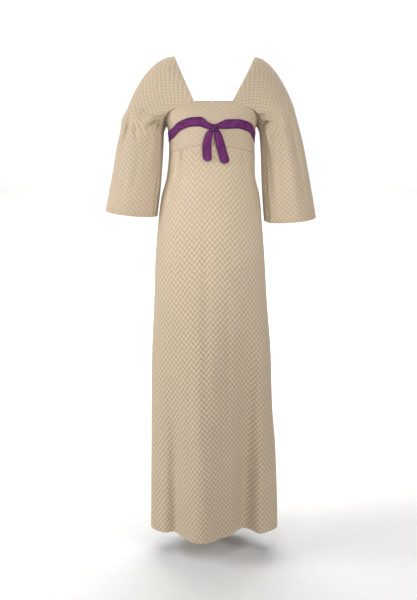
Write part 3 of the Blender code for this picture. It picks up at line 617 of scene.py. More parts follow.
def ring_point(rings, side, angle, row):
    """Point on the sleeve below the armpit at an angle and a row from 0 to 1."""
    over_x, over_z, under_x, under_z, front, back = columns_at(rings, 3.0 * row)
    along = np.cos(angle)
    across = np.sin(angle)
    depth = np.where(across > 0.0, front, back)
    radius = np.abs(along) ** SLEEVE_SQUARE + np.abs(across) ** SLEEVE_SQUARE
    radius = radius ** (-1.0 / SLEEVE_SQUARE)
    x = 0.5 * (over_x + under_x) + 0.5 * (over_x - under_x) * along * radius
    z = 0.5 * (over_z + under_z) + 0.5 * (over_z - under_z) * along * radius
    return np.stack((side * x, -depth * across * radius, z), axis=-1)


def seam_clear(turn, part):
    """Point on the bodice edge, a hair over it at the neck and outside it at the armpit."""
    height = sleeve_seam(turn)
    along_seam = body_form(turn + SEAM_STEP, sleeve_seam(turn + SEAM_STEP))
    along_seam = along_seam - body_form(turn - SEAM_STEP, sleeve_seam(turn - SEAM_STEP))
    normal = body_out(turn, height)
    above = unit(np.cross(along_seam, normal))
    above = np.where(above[..., 2:] < 0.0, -above, above)
    tilt = np.minimum(0.5 * np.pi, np.radians(ARMPIT_TILT) * part ** 3)[..., None]
    clear = (SEAM_LAP * (ARMPIT_GROWTH * part - 1.0))[..., None]
    return body_form(turn, height) + clear * (np.cos(tilt) * above + np.sin(tilt) * normal)


def seam_start(side, angle):
    """Point on the neck edge or sleeve seam where a line over the sleeve head starts."""
    degrees = np.degrees(angle)
    behind = degrees < 0.0
    degrees = np.abs(degrees)
    shoulder = np.array(SHOULDER_LEFT_SIDE if side > 0 else SHOULDER_RIGHT_SIDE)
    corner = CORNER_LEFT_SIDE if side > 0 else -CORNER_RIGHT_SIDE
    corner = np.where(behind, CORNER_BACK, corner)
    part = np.clip((degrees - 90.0) / 90.0, 0.0, 1.0)
    seam = seam_clear(side * np.radians(corner + (90.0 - corner) * part), part)
    over = np.clip(1.0 - degrees / 90.0, 0.0, 1.0)[..., None]
    bow = np.stack((np.full(degrees.shape, shoulder[0]), np.where(behind, NECK_BOW, -NECK_BOW),
                    np.full(degrees.shape, shoulder[2])), axis=-1)
    return (1.0 - over) ** 2 * seam + 2.0 * over * (1.0 - over) * bow + over ** 2 * shoulder


def head_point(rings, side, angle, part):
    """Point on the sleeve head, from the seam at part 0 to armpit level at part 1."""
    degrees = np.abs(np.degrees(angle))
    back = np.where(angle < 0.0, -1.0, 1.0)
    start = seam_start(side, angle)
    end = ring_point(rings, side, angle, np.zeros_like(angle))
    out_x, out_y, out_z, length = columns_at(HEAD_LINES, degrees)
    reach = HEAD_REACH_LEFT if side > 0 else HEAD_REACH_RIGHT
    length = length * (1.0 + (reach - 1.0) * ease(1.0 - degrees / REACH_FADE))
    lead = length[..., None] * unit(np.stack((side * out_x, back * out_y, out_z), axis=-1))
    down = ring_point(rings, side, angle, np.full_like(angle, SLOPE_ROW)) - end
    tail = columns_at(HEAD_ENDS, degrees)[0][..., None] * unit(down)
    return curve(part[..., None], start, lead, end, tail)


def sleeve_fold(folds, angle, row):
    """Outward push of a sleeve's folds at an angle and a row."""
    push = np.zeros_like(angle)
    for start_angle, start_row, end_angle, end_row, half, depth in folds:
        turn = (np.degrees(angle) - start_angle + 180.0) % 360.0 - 180.0
        around = turn * SLEEVE_FOLD_AROUND
        down = (row - start_row) * SLEEVE_FOLD_DOWN
        run_around = (end_angle - start_angle) * SLEEVE_FOLD_AROUND
        run_down = (end_row - start_row) * SLEEVE_FOLD_DOWN
        length = run_around * run_around + run_down * run_down
        part = np.clip((around * run_around + down * run_down) / length, 0.0, 1.0)
        away = np.hypot(around - part * run_around, down - part * run_down) / half
        held = SLEEVE_FOLD_HOLD + (1.0 - SLEEVE_FOLD_HOLD) * np.sin(np.pi * part)
        push += depth * held * hump(away)
    return push


def crease_push(grid, angle, level, creases):
    """Outward push of the small creases, by each point's distance from their lines."""
    push = np.zeros_like(angle)
    for start_angle, start_row, end_angle, end_row, deepest, half, depth in creases:
        part = np.linspace(0.0, 1.0, CREASE_STEPS)
        rows = np.interp(start_row + (end_row - start_row) * part, level[:, 0],
                         np.arange(len(level)))
        columns = np.interp(np.radians(start_angle + (end_angle - start_angle) * part), angle[0],
                            np.arange(angle.shape[1]))
        line = between(grid, rows, columns)
        nearest = np.full(angle.shape, np.inf)
        place = np.zeros_like(angle)
        for step in range(CREASE_STEPS - 1):
            run = line[step + 1] - line[step]
            share = np.clip(((grid - line[step]) @ run) / max(run @ run, HAIR), 0.0, 1.0)
            away = np.linalg.norm(grid - line[step] - share[..., None] * run, axis=-1)
            closer = away < nearest
            nearest = np.where(closer, away, nearest)
            place = np.where(closer, (step + share) / (CREASE_STEPS - 1), place)
        fade = ease(place / deepest) * (1.0 - ease((place - deepest) / (1.0 - deepest)))
        push += depth * fade * hump(nearest / half)
    return push


def between(grid, rows, columns):
    """Points of a grid at places between its rows and columns."""
    row = np.minimum(rows.astype(int), grid.shape[0] - 2)
    column = np.minimum(columns.astype(int), grid.shape[1] - 2)
    down = (rows - row)[..., None]
    across = (columns - column)[..., None]
    above = grid[row, column] * (1.0 - across) + grid[row, column + 1] * across
    below = grid[row + 1, column] * (1.0 - across) + grid[row + 1, column + 1] * across
    return above * (1.0 - down) + below * down


def along(points, axis):
    """Running length over a grid of points, along its rows or down its columns."""
    steps = np.linalg.norm(np.diff(points, axis=axis), axis=-1)
    start = np.zeros_like(np.take(steps, [0], axis=axis))
    return np.concatenate((start, np.cumsum(steps, axis=axis)), axis=axis)


def grid_out(points, side=1.0):
    """Outward directions on a grid whose rows run round and whose columns run down."""
    around = np.gradient(points, axis=1)
    down = np.gradient(points, axis=0)
    return side * unit(np.cross(down, around))


def shares(length, steps, fine_first=True, fine_last=True):
    """Places from 0 to 1 along a length, even in the middle and close at its seams."""
    edge = np.array(EDGE_STEPS) / length
    places = list(np.linspace(edge[-1] if fine_first else 0.0,
                              1.0 - edge[-1] if fine_last else 1.0, steps + 1))
    if fine_first:
        places = list(edge[:-1]) + places
    if fine_last:
        places = places + list(1.0 - edge[-2::-1])
    return np.array(places)


def turns_between(first, last, height, places):
    """Turns that share out the run round the body between two turns, in degrees."""
    fine = np.radians(np.linspace(first, last, FINE_TURNS))
    run = along(body_form(fine, height)[None], 1)[0]
    return np.interp(places * run[-1], run, fine)


def cloth_map(points, column, down=1.0):
    """Places on the flat cloth in metres: along each row from a column, and down it."""
    across = along(points, 1)
    across = across - across[:, column:column + 1]
    return np.stack((across, -down * along(points, 0)), axis=-1)


def tucked(points, normals, seams, depth):
    """Grid with its seamed edges rolled in: left, right, top and bottom, each 0 to 1."""
    across = along(points, 1)
    down = along(points, 0)
    left, right, top, bottom = seams
    roll = np.zeros(points.shape[:2])
    for share, away in ((left, across), (right, across[:, -1:] - across),
                        (top, down), (bottom, down[-1:] - down)):
        roll = np.maximum(roll, share * (1.0 - ease(away / TUCK_WIDTH)) ** 2)
    return points - depth * roll[..., None] * normals


def write_map(mesh, layer, flat):
    """Write the points' places on the flat cloth into a UV layer."""
    corners = np.zeros(len(mesh.loops), np.int32)
    mesh.loops.foreach_get("vertex_index", corners)
    layer.data.foreach_set("uv", np.asarray(flat, np.float32)[corners].ravel())


def write_share(mesh, name, values):
    """Write a named share at each point, for the material."""
    layer = mesh.attributes.new(name, "FLOAT", "POINT")
    layer.data.foreach_set("value", np.asarray(values, np.float32))


def link_mesh(name, mesh):
    """Object from a mesh that holds its place, smooth."""
    mesh.shade_smooth()
    thing = bpy.data.objects.new(name, mesh)
    bpy.context.scene.collection.objects.link(thing)
    return thing


def add_mesh(name, points, faces, material):
    """Mesh from points and faces, with its material."""
    mesh = bpy.data.meshes.new(name)
    mesh.from_pydata([tuple(point) for point in points], [], faces)
    mesh.materials.append(material)
    return mesh


def wrapped(grid):
    """Values of an outer grid, carried round its bottom edge, up its inside and over its top."""
    return np.concatenate((grid, np.repeat(grid[-1:], 3, axis=0), grid[::-1],
                           np.repeat(grid[:1], 3, axis=0)))


def add_shell(name, outer, flat, thick, side, material, bold=None):
    """Closed cloth wall on an outer grid, with rounded edges at its top and bottom."""
    rows, columns = outer.shape[:2]
    inner = outer - thick[..., None] * grid_out(outer, side)

    def edge(row, beside):
        middle = 0.5 * (outer[row] + inner[row])
        half = 0.5 * (outer[row] - inner[row])
        away = unit(outer[row] - outer[beside]) * np.linalg.norm(half, axis=-1, keepdims=True)
        return np.array([middle + math.cos(turn) * half + math.sin(turn) * away
                         for turn in (0.25 * math.pi, 0.5 * math.pi, 0.75 * math.pi)])

    points = np.concatenate((outer, edge(-1, -2), inner[::-1], edge(0, 1)[::-1])).reshape(-1, 3)
    face = np.zeros(rows)
    reverse = np.concatenate((face, (0.2, 0.5, 0.8), face + 1.0, (0.8, 0.5, 0.2)))
    total = 2 * rows + 6
    index = np.arange(total * columns).reshape(total, columns)
    after = np.roll(index, -1, axis=0)
    quads = np.stack((index[:, :-1], after[:, :-1], after[:, 1:], index[:, 1:]), axis=-1)
    quads = quads.reshape(-1, 4)
    caps = []
    for column, flip in ((0, False), (columns - 1, True)):
        ring = index[:, column]
        for row in range(rows - 1):
            face = [ring[row + 1], ring[row], ring[2 * rows + 2 - row], ring[2 * rows + 1 - row]]
            caps.append(face[::-1] if flip else face)
        ends = [ring[row] for row in range(rows - 1, rows + 4)]
        starts = [ring[row] for row in range(2 * rows + 2, 2 * rows + 6)] + [ring[0]]
        caps.append(ends if flip else ends[::-1])
        caps.append(starts if flip else starts[::-1])
    faces = [tuple(face) for face in quads.tolist()] + [tuple(map(int, face)) for face in caps]
    if side < 0.0:
        faces = [face[::-1] for face in faces]
    mesh = add_mesh(name, points, faces, material)
    write_map(mesh, mesh.uv_layers.new(name="cloth"), wrapped(flat).reshape(-1, 2))
    write_share(mesh, "reverse", np.repeat(reverse, columns))
    if bold is not None:
        write_share(mesh, "bold", wrapped(np.broadcast_to(bold, thick.shape)).ravel())
    return link_mesh(name, mesh)


def linear(code):
    """Linear colour with alpha from an sRGB hex value."""
    found = []
    for place in (0, 2, 4):
        value = int(code[place:place + 2], 16) / 255.0
        found.append(value / 12.92 if value <= 0.04045 else ((value + 0.055) / 1.055) ** 2.4)
    return (*found, 1.0)


def add_node(tree, kind, settings=None, links=None):
    """Node with settings, by attribute name or input, and links into its inputs."""
    node = tree.nodes.new(kind)
    for name, value in (settings or {}).items():
        if isinstance(name, str) and hasattr(node, name):
            setattr(node, name, value)
        else:
            node.inputs[name].default_value = value
    for name, source in (links or {}).items():
        tree.links.new(source, node.inputs[name])
    return node


def new_material(name, settings):
    """Material with its Principled BSDF set, its node tree and that shader."""
    material = bpy.data.materials.new(name)
    material.use_nodes = True
    shader = material.node_tree.nodes["Principled BSDF"]
    for socket, value in settings.items():
        shader.inputs[socket].default_value = value
    return material, material.node_tree, shader


def calculate(tree, operation, *terms):
    """Math node on terms that are numbers or sockets."""
    settings = {"operation": operation}
    settings.update((place, term) for place, term in enumerate(terms) if isinstance(term, float))
    links = {place: term for place, term in enumerate(terms) if not isinstance(term, float)}
    return add_node(tree, "ShaderNodeMath", settings, links).outputs["Value"]


def vectors(tree, operation, source, settings=None):
    """Vector math node on one socket."""
    settings = {"operation": operation, **(settings or {})}
    return add_node(tree, "ShaderNodeVectorMath", settings, {0: source}).outputs["Vector"]


def parts_of(tree, source):
    """The parts of a vector socket."""
    return add_node(tree, "ShaderNodeSeparateXYZ", {}, {"Vector": source}).outputs


def flat_place(tree):
    """Place on the flat cloth, in metres."""
    return add_node(tree, "ShaderNodeUVMap", {"uv_map": "cloth"}).outputs["UV"]


def shown_share(tree, name):
    """Share written at the points of a mesh."""
    return add_node(tree, "ShaderNodeAttribute", {"attribute_name": name}).outputs["Fac"]


def blend(tree, factor, low, high):
    """Number that runs between two sockets by a factor."""
    mixed = add_node(tree, "ShaderNodeMix", {"data_type": "FLOAT"},
                     {"Factor": factor, 2: low, 3: high})
    return mixed.outputs["Result"]


def ranged(tree, value, settings, links=None):
    """Number carried from one range to another."""
    links = {"Value": value, **(links or {})}
    return add_node(tree, "ShaderNodeMapRange", settings, links).outputs["Result"]


def noise(tree, place, scale, detail, roughness=0.5):
    """Noise at one scale, or stretched by one for each direction."""
    if isinstance(scale, tuple):
        stretched = add_node(tree, "ShaderNodeMapping", {"Scale": scale}, {"Vector": place})
        place, scale = stretched.outputs["Vector"], 1.0
    settings = {"Scale": scale, "Detail": detail, "Roughness": roughness}
    return add_node(tree, "ShaderNodeTexNoise", settings, {"Vector": place}).outputs["Fac"]


def two_tones(tree, factor, low, high):
    """Colour between two sRGB hex values."""
    settings = {"data_type": "RGBA", 6: linear(low), 7: linear(high)}
    return add_node(tree, "ShaderNodeMix", settings, {"Factor": factor}).outputs[2]


def emboss(tree, shader, height, strength, distance):
    """Relief of a height, at a distance in metres."""
    settings = {"Strength": strength, "Distance": distance}
    bump = add_node(tree, "ShaderNodeBump", settings, {"Height": height})
    tree.links.new(bump.outputs["Normal"], shader.inputs["Normal"])


def diamond_rings(tree, inside):
    """Share of tan on the rings of a diamond, by the place from its edge to its middle."""
    rings = add_node(tree, "ShaderNodeValToRGB", {}, {"Fac": inside})
    stops = rings.color_ramp.elements
    for place, tone in DIAMOND_RINGS[1:-1]:
        stops.new(place).color = (tone, tone, tone, 1.0)
    for end in (0, -1):
        place, tone = DIAMOND_RINGS[end]
        stops[end].position = place
        stops[end].color = (tone, tone, tone, 1.0)
    return rings.outputs["Color"]


def diamond_weave(sizes):
    """Wool double cloth in a diamond twill: rings of cream floats on a tan ground, a soft matt
    face with a little nap. Threads are drawn 1.1 mm apart, coarser than real, so they show."""
    material, tree, shader = new_material("wool_diamond_weave", {
        "Roughness": 0.9, "Specular IOR Level": 0.25, "Sheen Weight": 0.15,
        "Sheen Roughness": 0.5})
    combine = partial(calculate, tree)
    flat = flat_place(tree)
    pitch = sizes.thread_pitch
    snapped = vectors(tree, "SNAP", flat, {1: (pitch, pitch, 1.0)})
    thread = parts_of(tree, snapped)
    across = combine("MULTIPLY", thread["X"], 1.0 / sizes.diamond_width)
    down = combine("MULTIPLY", thread["Y"], 1.0 / sizes.diamond_height)
    side = combine("SUBTRACT", combine("FRACT", across), 0.5)
    rise = combine("SUBTRACT", combine("FRACT", down), 0.5)
    both = combine("ADD", combine("ABSOLUTE", side), combine("ABSOLUTE", rise))
    inside = combine("ABSOLUTE", combine("MULTIPLY_ADD", both, 2.0, -1.0))
    swing = combine("SINE", combine("MULTIPLY", parts_of(tree, flat)["X"],
                                    2.0 * math.pi / sizes.chevron_width))
    swing = combine("MULTIPLY_ADD", swing, sizes.chevron_lean, -sizes.slant_bias)
    slant = combine("MULTIPLY", combine("SIGN", combine("MULTIPLY", side, rise)), swing)
    lean = combine("ADD", slant, 1.0 - sizes.chevron_lean)
    ground = combine("MULTIPLY", diamond_rings(tree, inside), lean)
    face = blend(tree, shown_share(tree, "reverse"), ground, combine("SUBTRACT", 1.0, ground))
    face = combine("MULTIPLY_ADD", combine("SUBTRACT", face, WEAVE_MEAN),
                   shown_share(tree, "bold"), WEAVE_MEAN)
    slub = noise(tree, flat, (420.0, 60.0, 1.0), 2.0, 0.55)
    cloudy = noise(tree, flat, 9.0, 3.0)
    spot = add_node(tree, "ShaderNodeTexWhiteNoise", {"noise_dimensions": "2D"},
                    {"Vector": snapped}).outputs["Value"]
    shade = combine("MULTIPLY_ADD", slub, 0.14, 0.93)
    for uneven in (cloudy, spot):
        shade = combine("MULTIPLY", shade, combine("MULTIPLY_ADD", uneven, 0.10, 0.95))
    tinted = add_node(tree, "ShaderNodeVectorMath", {"operation": "SCALE"},
                      {0: two_tones(tree, face, sizes.cream, sizes.tan), "Scale": shade})
    tree.links.new(tinted.outputs["Vector"], shader.inputs["Base Color"])
    waves = vectors(tree, "SCALE", flat, {"Scale": math.pi / pitch})
    threads = parts_of(tree, vectors(tree, "ABSOLUTE", vectors(tree, "SINE", waves)))
    relief = blend(tree, face, threads["X"], threads["Y"])
    puffed = combine("MULTIPLY_ADD", face, -0.9, relief)
    emboss(tree, shader, combine("MULTIPLY_ADD", slub, 0.8, puffed), 0.7, 0.00035)
    return material


def twisted_thread(sizes):
    """Cotton sewing thread: two plies twisted together, matt, a little lighter than the cloth."""
    material, tree, shader = new_material("cotton_thread", {
        "Base Color": linear(sizes.thread), "Roughness": 0.8, "Sheen Weight": 0.1})
    place = add_node(tree, "ShaderNodeTexCoord").outputs["Object"]
    twist = add_node(tree, "ShaderNodeTexWave", {"Scale": 900.0, "Distortion": 2.0},
                     {"Vector": place})
    emboss(tree, shader, twist.outputs["Fac"], 0.4, 0.00008)
    return material


def cut_pile_ribbon(sizes):
    """Rayon velvet ribbon: short upright pile, dark face-on and paler at glancing angles, streaked
    along its length, with painted shade that takes its colour down to the deep purple towards its
    edges."""
    material, tree, shader = new_material("rayon_velvet_ribbon", {
        "Roughness": 0.75, "Specular IOR Level": 0.2, "Sheen Weight": 0.30,
        "Sheen Roughness": 0.35, "Sheen Tint": linear(sizes.sheen)})
    flat = flat_place(tree)
    mixed = calculate(tree, "MULTIPLY", noise(tree, flat, (40.0, 500.0, 1.0), 3.0),
                      noise(tree, flat, 55.0, 2.0))
    # Painted shade: the bold share falls towards the ribbon's edges and takes the colour there down
    # to the deep purple. The noise streaks are the velvet's own.
    tone = ranged(tree, mixed, {"From Min": 0.12, "From Max": 0.42},
                  {"To Max": shown_share(tree, "bold")})
    tree.links.new(two_tones(tree, tone, sizes.deep, sizes.purple), shader.inputs["Base Color"])
    emboss(tree, shader, noise(tree, flat, 2600.0, 1.0), 0.5, 0.0002)
    return material


def herringbone_tape(sizes):
    """Polyester zip tape: a tight herringbone, smooth with a faint shine, its colour darkened in
    the low parts of its ribs as painted shade. Its ribs are drawn 1 mm apart, about twice the real
    ones."""
    material, tree, shader = new_material("polyester_tape", {
        "Roughness": 0.6, "Specular IOR Level": 0.4})
    place = parts_of(tree, flat_place(tree))
    column = calculate(tree, "PINGPONG", place["X"], 0.0012)
    rib = calculate(tree, "PINGPONG", calculate(tree, "ADD", column, place["Y"]), 0.0005)
    height = ranged(tree, rib, {"From Max": 0.0005})
    # Painted shade: the colour follows the ribs' height, darker where they are low.
    tree.links.new(two_tones(tree, height, "B49C7C", sizes.tape), shader.inputs["Base Color"])
    emboss(tree, shader, height, 0.5, 0.00015)
    return material


def tumbled_brass(sizes):
    """Cast brass, tumbled: soft satin metal, brighter where it is handled, with fine scratches."""
    material, tree, shader = new_material("tumbled_brass", {"Metallic": 1.0})
    place = add_node(tree, "ShaderNodeTexCoord").outputs["Object"]
    dull = noise(tree, place, 260.0, 4.0)
    tree.links.new(two_tones(tree, dull, "A98F55", sizes.brass), shader.inputs["Base Color"])
    worn = ranged(tree, dull, {"To Min": 0.24, "To Max": 0.48})
    tree.links.new(worn, shader.inputs["Roughness"])
    emboss(tree, shader, noise(tree, place, (3000.0, 500.0, 500.0), 2.0), 0.15, 0.0001)
    return material


def backdrop_paper(stage):
    """Matt white studio paper, hardly textured."""
    material, tree, shader = new_material("studio_paper", {"Roughness": 0.95})
    grain = noise(tree, add_node(tree, "ShaderNodeTexCoord").outputs["Object"], 60.0, 3.0)
    tree.links.new(two_tones(tree, grain, "F4F4F3", stage.paper), shader.inputs["Base Color"])
    return material


class DressClothSizes(PropertyGroup):
    """The cloth, its weave and its hems."""
    thick: FloatProperty(name="Thickness", description="Thickness of the cloth",
                         default=0.0013, min=0.0005, max=0.003, unit="LENGTH")
    tuck: FloatProperty(name="Seam tuck", description="How deep the cloth rolls in at a seam",
                        default=0.0011, min=0.0, max=0.003, unit="LENGTH")
    hem: FloatProperty(name="Hem", description="Depth of the skirt's hem turn-up",
                       default=0.038, min=0.005, max=0.08, unit="LENGTH")
    cuff_hem: FloatProperty(name="Cuff hem", description="Depth of the sleeve's hem turn-up",
                            default=0.011, min=0.005, max=0.04, unit="LENGTH")
    neck_fold: FloatProperty(name="Neck fold", description="Depth of the turned neck edge",
                             default=0.010, min=0.004, max=0.03, unit="LENGTH")
    dart: FloatProperty(name="Dart depth", description="How deep the darts' seams lie",
                        default=0.0034, min=0.0, max=0.004, unit="LENGTH")
    diamond_width: FloatProperty(name="Diamond width", description="Width of one woven diamond",
                                 default=0.014, unit="LENGTH")
    diamond_height: FloatProperty(name="Diamond height",
                                  description="Height of one woven diamond",
                                  default=0.017, unit="LENGTH")
    chevron_width: FloatProperty(name="Chevron width",
                                 description="Width over which the weave's slant turns and returns",
                                 default=0.028, unit="LENGTH")
    chevron_lean: FloatProperty(name="Chevron lean",
                                description="How far one slant outweighs the other",
                                default=0.18, min=0.0, max=0.5)
    slant_bias: FloatProperty(name="Slant bias", description="How far the rising slant shows more",
                              default=0.07, min=0.0, max=0.5)
    thread_pitch: FloatProperty(name="Thread pitch", description="Distance between drawn threads",
                                default=0.0011, unit="LENGTH")
    cream: StringProperty(name="Cream", description="Colour of the diamonds, sRGB hex",
                          default="DCCAB1")
    tan: StringProperty(name="Tan", description="Colour of the ground, sRGB hex",
                        default="A89377")


class DressRibbonSizes(PropertyGroup):
    """The ribbon, its knot and its tails."""
    thick: FloatProperty(name="Thickness", description="Thickness of the ribbon",
                         default=0.0010, min=0.0003, max=0.002, unit="LENGTH")
    clear: FloatProperty(name="Clearance", description="Gap between ribbon and cloth",
                         default=0.0007, unit="LENGTH")
    purple: StringProperty(name="Purple", description="Colour of the pile, sRGB hex",
                           default="7E3577")
    # The deep purple is the colour deep in the pile in the streaks, and also the painted shade at
    # the ribbon's edges.
    deep: StringProperty(name="Deep purple", description="Colour deep in the pile, sRGB hex",
                         default="4E1C4B")
    sheen: StringProperty(name="Sheen", description="Colour at glancing angles, sRGB hex",
                          default="C07ABC")


class DressSewingSizes(PropertyGroup):
    """Stitches that show."""
    stitch: FloatProperty(name="Stitch", description="Length of one stitch",
                          default=0.0024, unit="LENGTH")
    gap: FloatProperty(name="Gap", description="Gap between two stitches",
                       default=0.0006, unit="LENGTH")
    radius: FloatProperty(name="Thread radius", description="Half thickness of the thread",
                          default=0.00022, unit="LENGTH")
    cuff_line: FloatProperty(name="Cuff line",
                             description="Height of the hem stitching above the cuff",
                             default=0.0100, unit="LENGTH")
    zip_line: FloatProperty(name="Zip line", description="Stitching's distance from the zip's edge",
                            default=0.0075, unit="LENGTH")
    thread: StringProperty(name="Thread", description="Colour of the thread, sRGB hex",
                           default="D9C6A6")


class DressZipSizes(PropertyGroup):
    """Zip at the middle back."""
    pitch: FloatProperty(name="Tooth pitch", description="Distance between two teeth",
                         default=0.0022, unit="LENGTH")
    tooth: FloatProperty(name="Tooth width", description="Width of one tooth",
                         default=0.0026, unit="LENGTH")
    tape_half: FloatProperty(name="Tape half width", description="Half width of both tapes",
                             default=0.012, unit="LENGTH")
    tape: StringProperty(name="Tape", description="Colour of the tape, sRGB hex",
                         default="CDB898")
    brass: StringProperty(name="Brass", description="Colour of the metal, sRGB hex",
                          default="D8BF85")


class DressStageSettings(PropertyGroup):
    """Floor, light and camera."""
    floor: FloatProperty(name="Floor", description="Height of the floor under the shoulders",
                         default=-1.460, unit="LENGTH")
    distance: FloatProperty(name="Camera distance", description="Camera distance from the middle",
                            default=2.9, unit="LENGTH")
    pitch: FloatProperty(name="Camera pitch", description="How far the camera looks down",
                         default=math.radians(12.79), subtype="ANGLE")
    lens: FloatProperty(name="Lens", description="Focal length on a 36 mm frame, in mm",
                        default=62.4)
    key: FloatProperty(name="Key light", description="Power of the soft light at the left",
                       default=36.0, subtype="POWER")
    fill: FloatProperty(name="Fill light", description="Power of the soft light at the right",
                        default=24.0, subtype="POWER")
    top: FloatProperty(name="Top light", description="Power of the soft light over the camera",
                       default=20.0, subtype="POWER")
    pool: FloatProperty(name="Grid light",
                        description="Power of the narrow light on the skirt's top",
                        default=0.14, subtype="POWER")
    ground: FloatProperty(name="Floor light", description="Power of the light over the floor",
                          default=66.0, subtype="POWER")
    backdrop: FloatProperty(name="Backdrop light", description="Power of the light on the paper",
                            default=900.0, subtype="POWER")
    sky: FloatProperty(name="Sky", description="Strength of the even light all round",
                       default=0.08)
    paper: StringProperty(name="Paper", description="Colour of the backdrop, sRGB hex",
                          default="FBFBFA")
    steps: IntProperty(name="Cove steps", description="Steps in the curve behind the floor",
                       default=24, min=4)


def declare_sheet(piece, nodes):
    """Hang a cloth piece on the dress and hide the solids it stands for."""
    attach(piece, DRESS)
    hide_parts(*nodes)


def cloth_material(context):
    """The dress cloth, made once."""
    found = bpy.data.materials.get("wool_diamond_weave")
    return found or diamond_weave(context.scene.dress_cloth)


def thickened(thick, down, depth, share=1.0):
    """Thickness that nearly doubles over a turned edge, by distance from it."""
    turned = TURNED_SHARE * share * (1.0 - ease((down - depth) / TURNED_FADE))
    return thick * (1.0 + turned)


def panel_grid(turns, top, bottom, places):
    """Points of a body panel, trimmed at its side seams and at the zip."""
    heights = top(turns) + (bottom(turns) - top(turns)) * places[:, None]
    edges = []
    for sign, column in ((1.0, 0), (-1.0, -1)):
        height = heights[:, column]
        turn = np.full_like(height, turns[column])
        radius = np.linalg.norm(body_form(turn, height)[:, :2], axis=-1)
        zipped = abs(abs(turns[column]) - math.pi) < 0.001
        gap = zip_edge(height) if zipped else -SEAM_LAP
        edges.append((turn + sign * gap / radius)[:, None])
    share = (turns - turns[0]) / (turns[-1] - turns[0])
    return body_form(edges[0] + (edges[1] - edges[0]) * share, heights)


def with_darts(grid, out, depth):
    """Grid with the darts' seams sunk in from the seam edge to their points."""
    for x_top, height_top, x_end, height_end in DARTS:
        part = (height_top - grid[..., 2]) / (height_top - height_end)
        away = (grid[..., 0] - x_top - (x_end - x_top) * part) / DART_HALF
        fade = 1.0 - ease((part - DART_HOLD) / (1.0 - DART_HOLD))
        deep = ease(along(grid, 0) / DART_START) * fade
        grid = grid - (depth * deep * hump(away))[..., None] * out
    return grid


def make_panel(context, name, turns, edges, places, seams, grain_column, bold=None,
               hem=0.0, neck=0.0):
    """One panel of the body as a cloth shell on its solid's form. A panel with one boldness is
    cut crosswise. Without one it is cut lengthwise, and its weave shows more further down."""
    sizes = context.scene.dress_cloth
    grid = panel_grid(turns, *edges, places)
    out = grid_out(grid)
    if name == "skirt_front":
        grid = with_darts(grid, out, sizes.dart)
    grid = tucked(grid, out, seams, sizes.tuck)
    down = along(grid, 0)
    thick = thickened(sizes.thick, down, sizes.neck_fold, neck)
    if hem:
        thick = thickened(sizes.thick, down[-1:] - down, hem)
    flat = cloth_map(grid, grain_column)
    if bold is None:
        bold = BOLD_SKIRT_TOP + (1.0 - BOLD_SKIRT_TOP) * ease(down / BOLD_RUN)
    else:
        flat = flat[..., ::-1]
    piece = add_shell(name + "_cloth", grid, flat, thick, 1.0, cloth_material(context), bold)
    declare_sheet(piece, [name])


def front_and_backs(part, front, back, middle):
    """Name, turns and grain column of a front panel and of its two backs."""
    return ((part + "_front", front, middle), (part + "_back_left", back, len(back) - 1),
            (part + "_back_right", -back[::-1], 0))


def merged_turns(turns, extra):
    """Turns with a few more put in between, and none closer than the least gap."""
    joined = np.sort(np.concatenate((turns, extra)))
    keep = np.concatenate(([True], np.diff(joined) > COLUMN_GAP))
    return joined[keep]


def armpit_tuck(part):
    """Depth of the tuck at a sleeve seam: slight at the neck corner, deep at the armpit."""
    return SLEEVE_SEAM_TUCK + ARMPIT_TUCK * ease((part - ARMPIT_START) / ARMPIT_RUN)


class DRESS_OT_bodice(Operator):
    """Bodice front and the two bodice backs, from neck edge to ribbon seam"""
    bl_idname = "dress.bodice"
    bl_label = "Bodice"

    def execute(self, context):
        level = -0.18
        seam_run = 0.12
        half_back = 0.075
        neck_places = np.linspace(0.0, 1.0, 61)
        front = np.concatenate((
            turns_between(-90.0, CORNER_RIGHT_SIDE, level, shares(seam_run, 34, True, False)),
            turns_between(CORNER_RIGHT_SIDE, CORNER_LEFT_SIDE, -0.16, neck_places)[1:],
            turns_between(CORNER_LEFT_SIDE, 90.0, level, shares(seam_run, 34, False))[1:]))
        back = np.concatenate((
            turns_between(90.0, CORNER_BACK, level, shares(seam_run, 34, True, False)),
            turns_between(CORNER_BACK, 180.0, level, shares(half_back, 26, False))[1:]))
        for name, turns, grain in front_and_backs("bodice", front, back, len(front) // 2):
            degrees = np.degrees(turns)
            away = np.abs(degrees)
            outside = (degrees < CORNER_RIGHT_SIDE) | (degrees > CORNER_LEFT_SIDE)
            outside &= away < CORNER_BACK
            corner = np.where(away > 90.0, CORNER_BACK, CORNER_MEAN)
            seam = outside * armpit_tuck((away - corner) / (90.0 - corner))
            make_panel(context, name, turns, (bodice_top, lapped(ribbon_line, -1.0)),
                       shares(0.06, 26), (1.0, 1.0, seam, 1.0), grain, BOLD_BODICE,
                       neck=1.0 - outside)
        return {"FINISHED"}


class DRESS_OT_midriff(Operator):
    """Midriff band, from the ribbon seam to the skirt seam"""
    bl_idname = "dress.midriff"
    bl_label = "Midriff"

    def execute(self, context):
        level = -0.22
        front = turns_between(-90.0, 90.0, level, shares(0.30, 120))
        back = turns_between(90.0, 180.0, level, shares(0.17, 62))
        edges = (lapped(ribbon_line, 1.0), lapped(skirt_seam, -1.0))
        for name, turns, grain in front_and_backs("midriff", front, back, len(front) // 2):
            make_panel(context, name, turns, edges, shares(0.045, 20),
                       (1.0, 1.0, 1.0, MIDRIFF_SEAM_TUCK), grain, BOLD_BODICE)
        return {"FINISHED"}


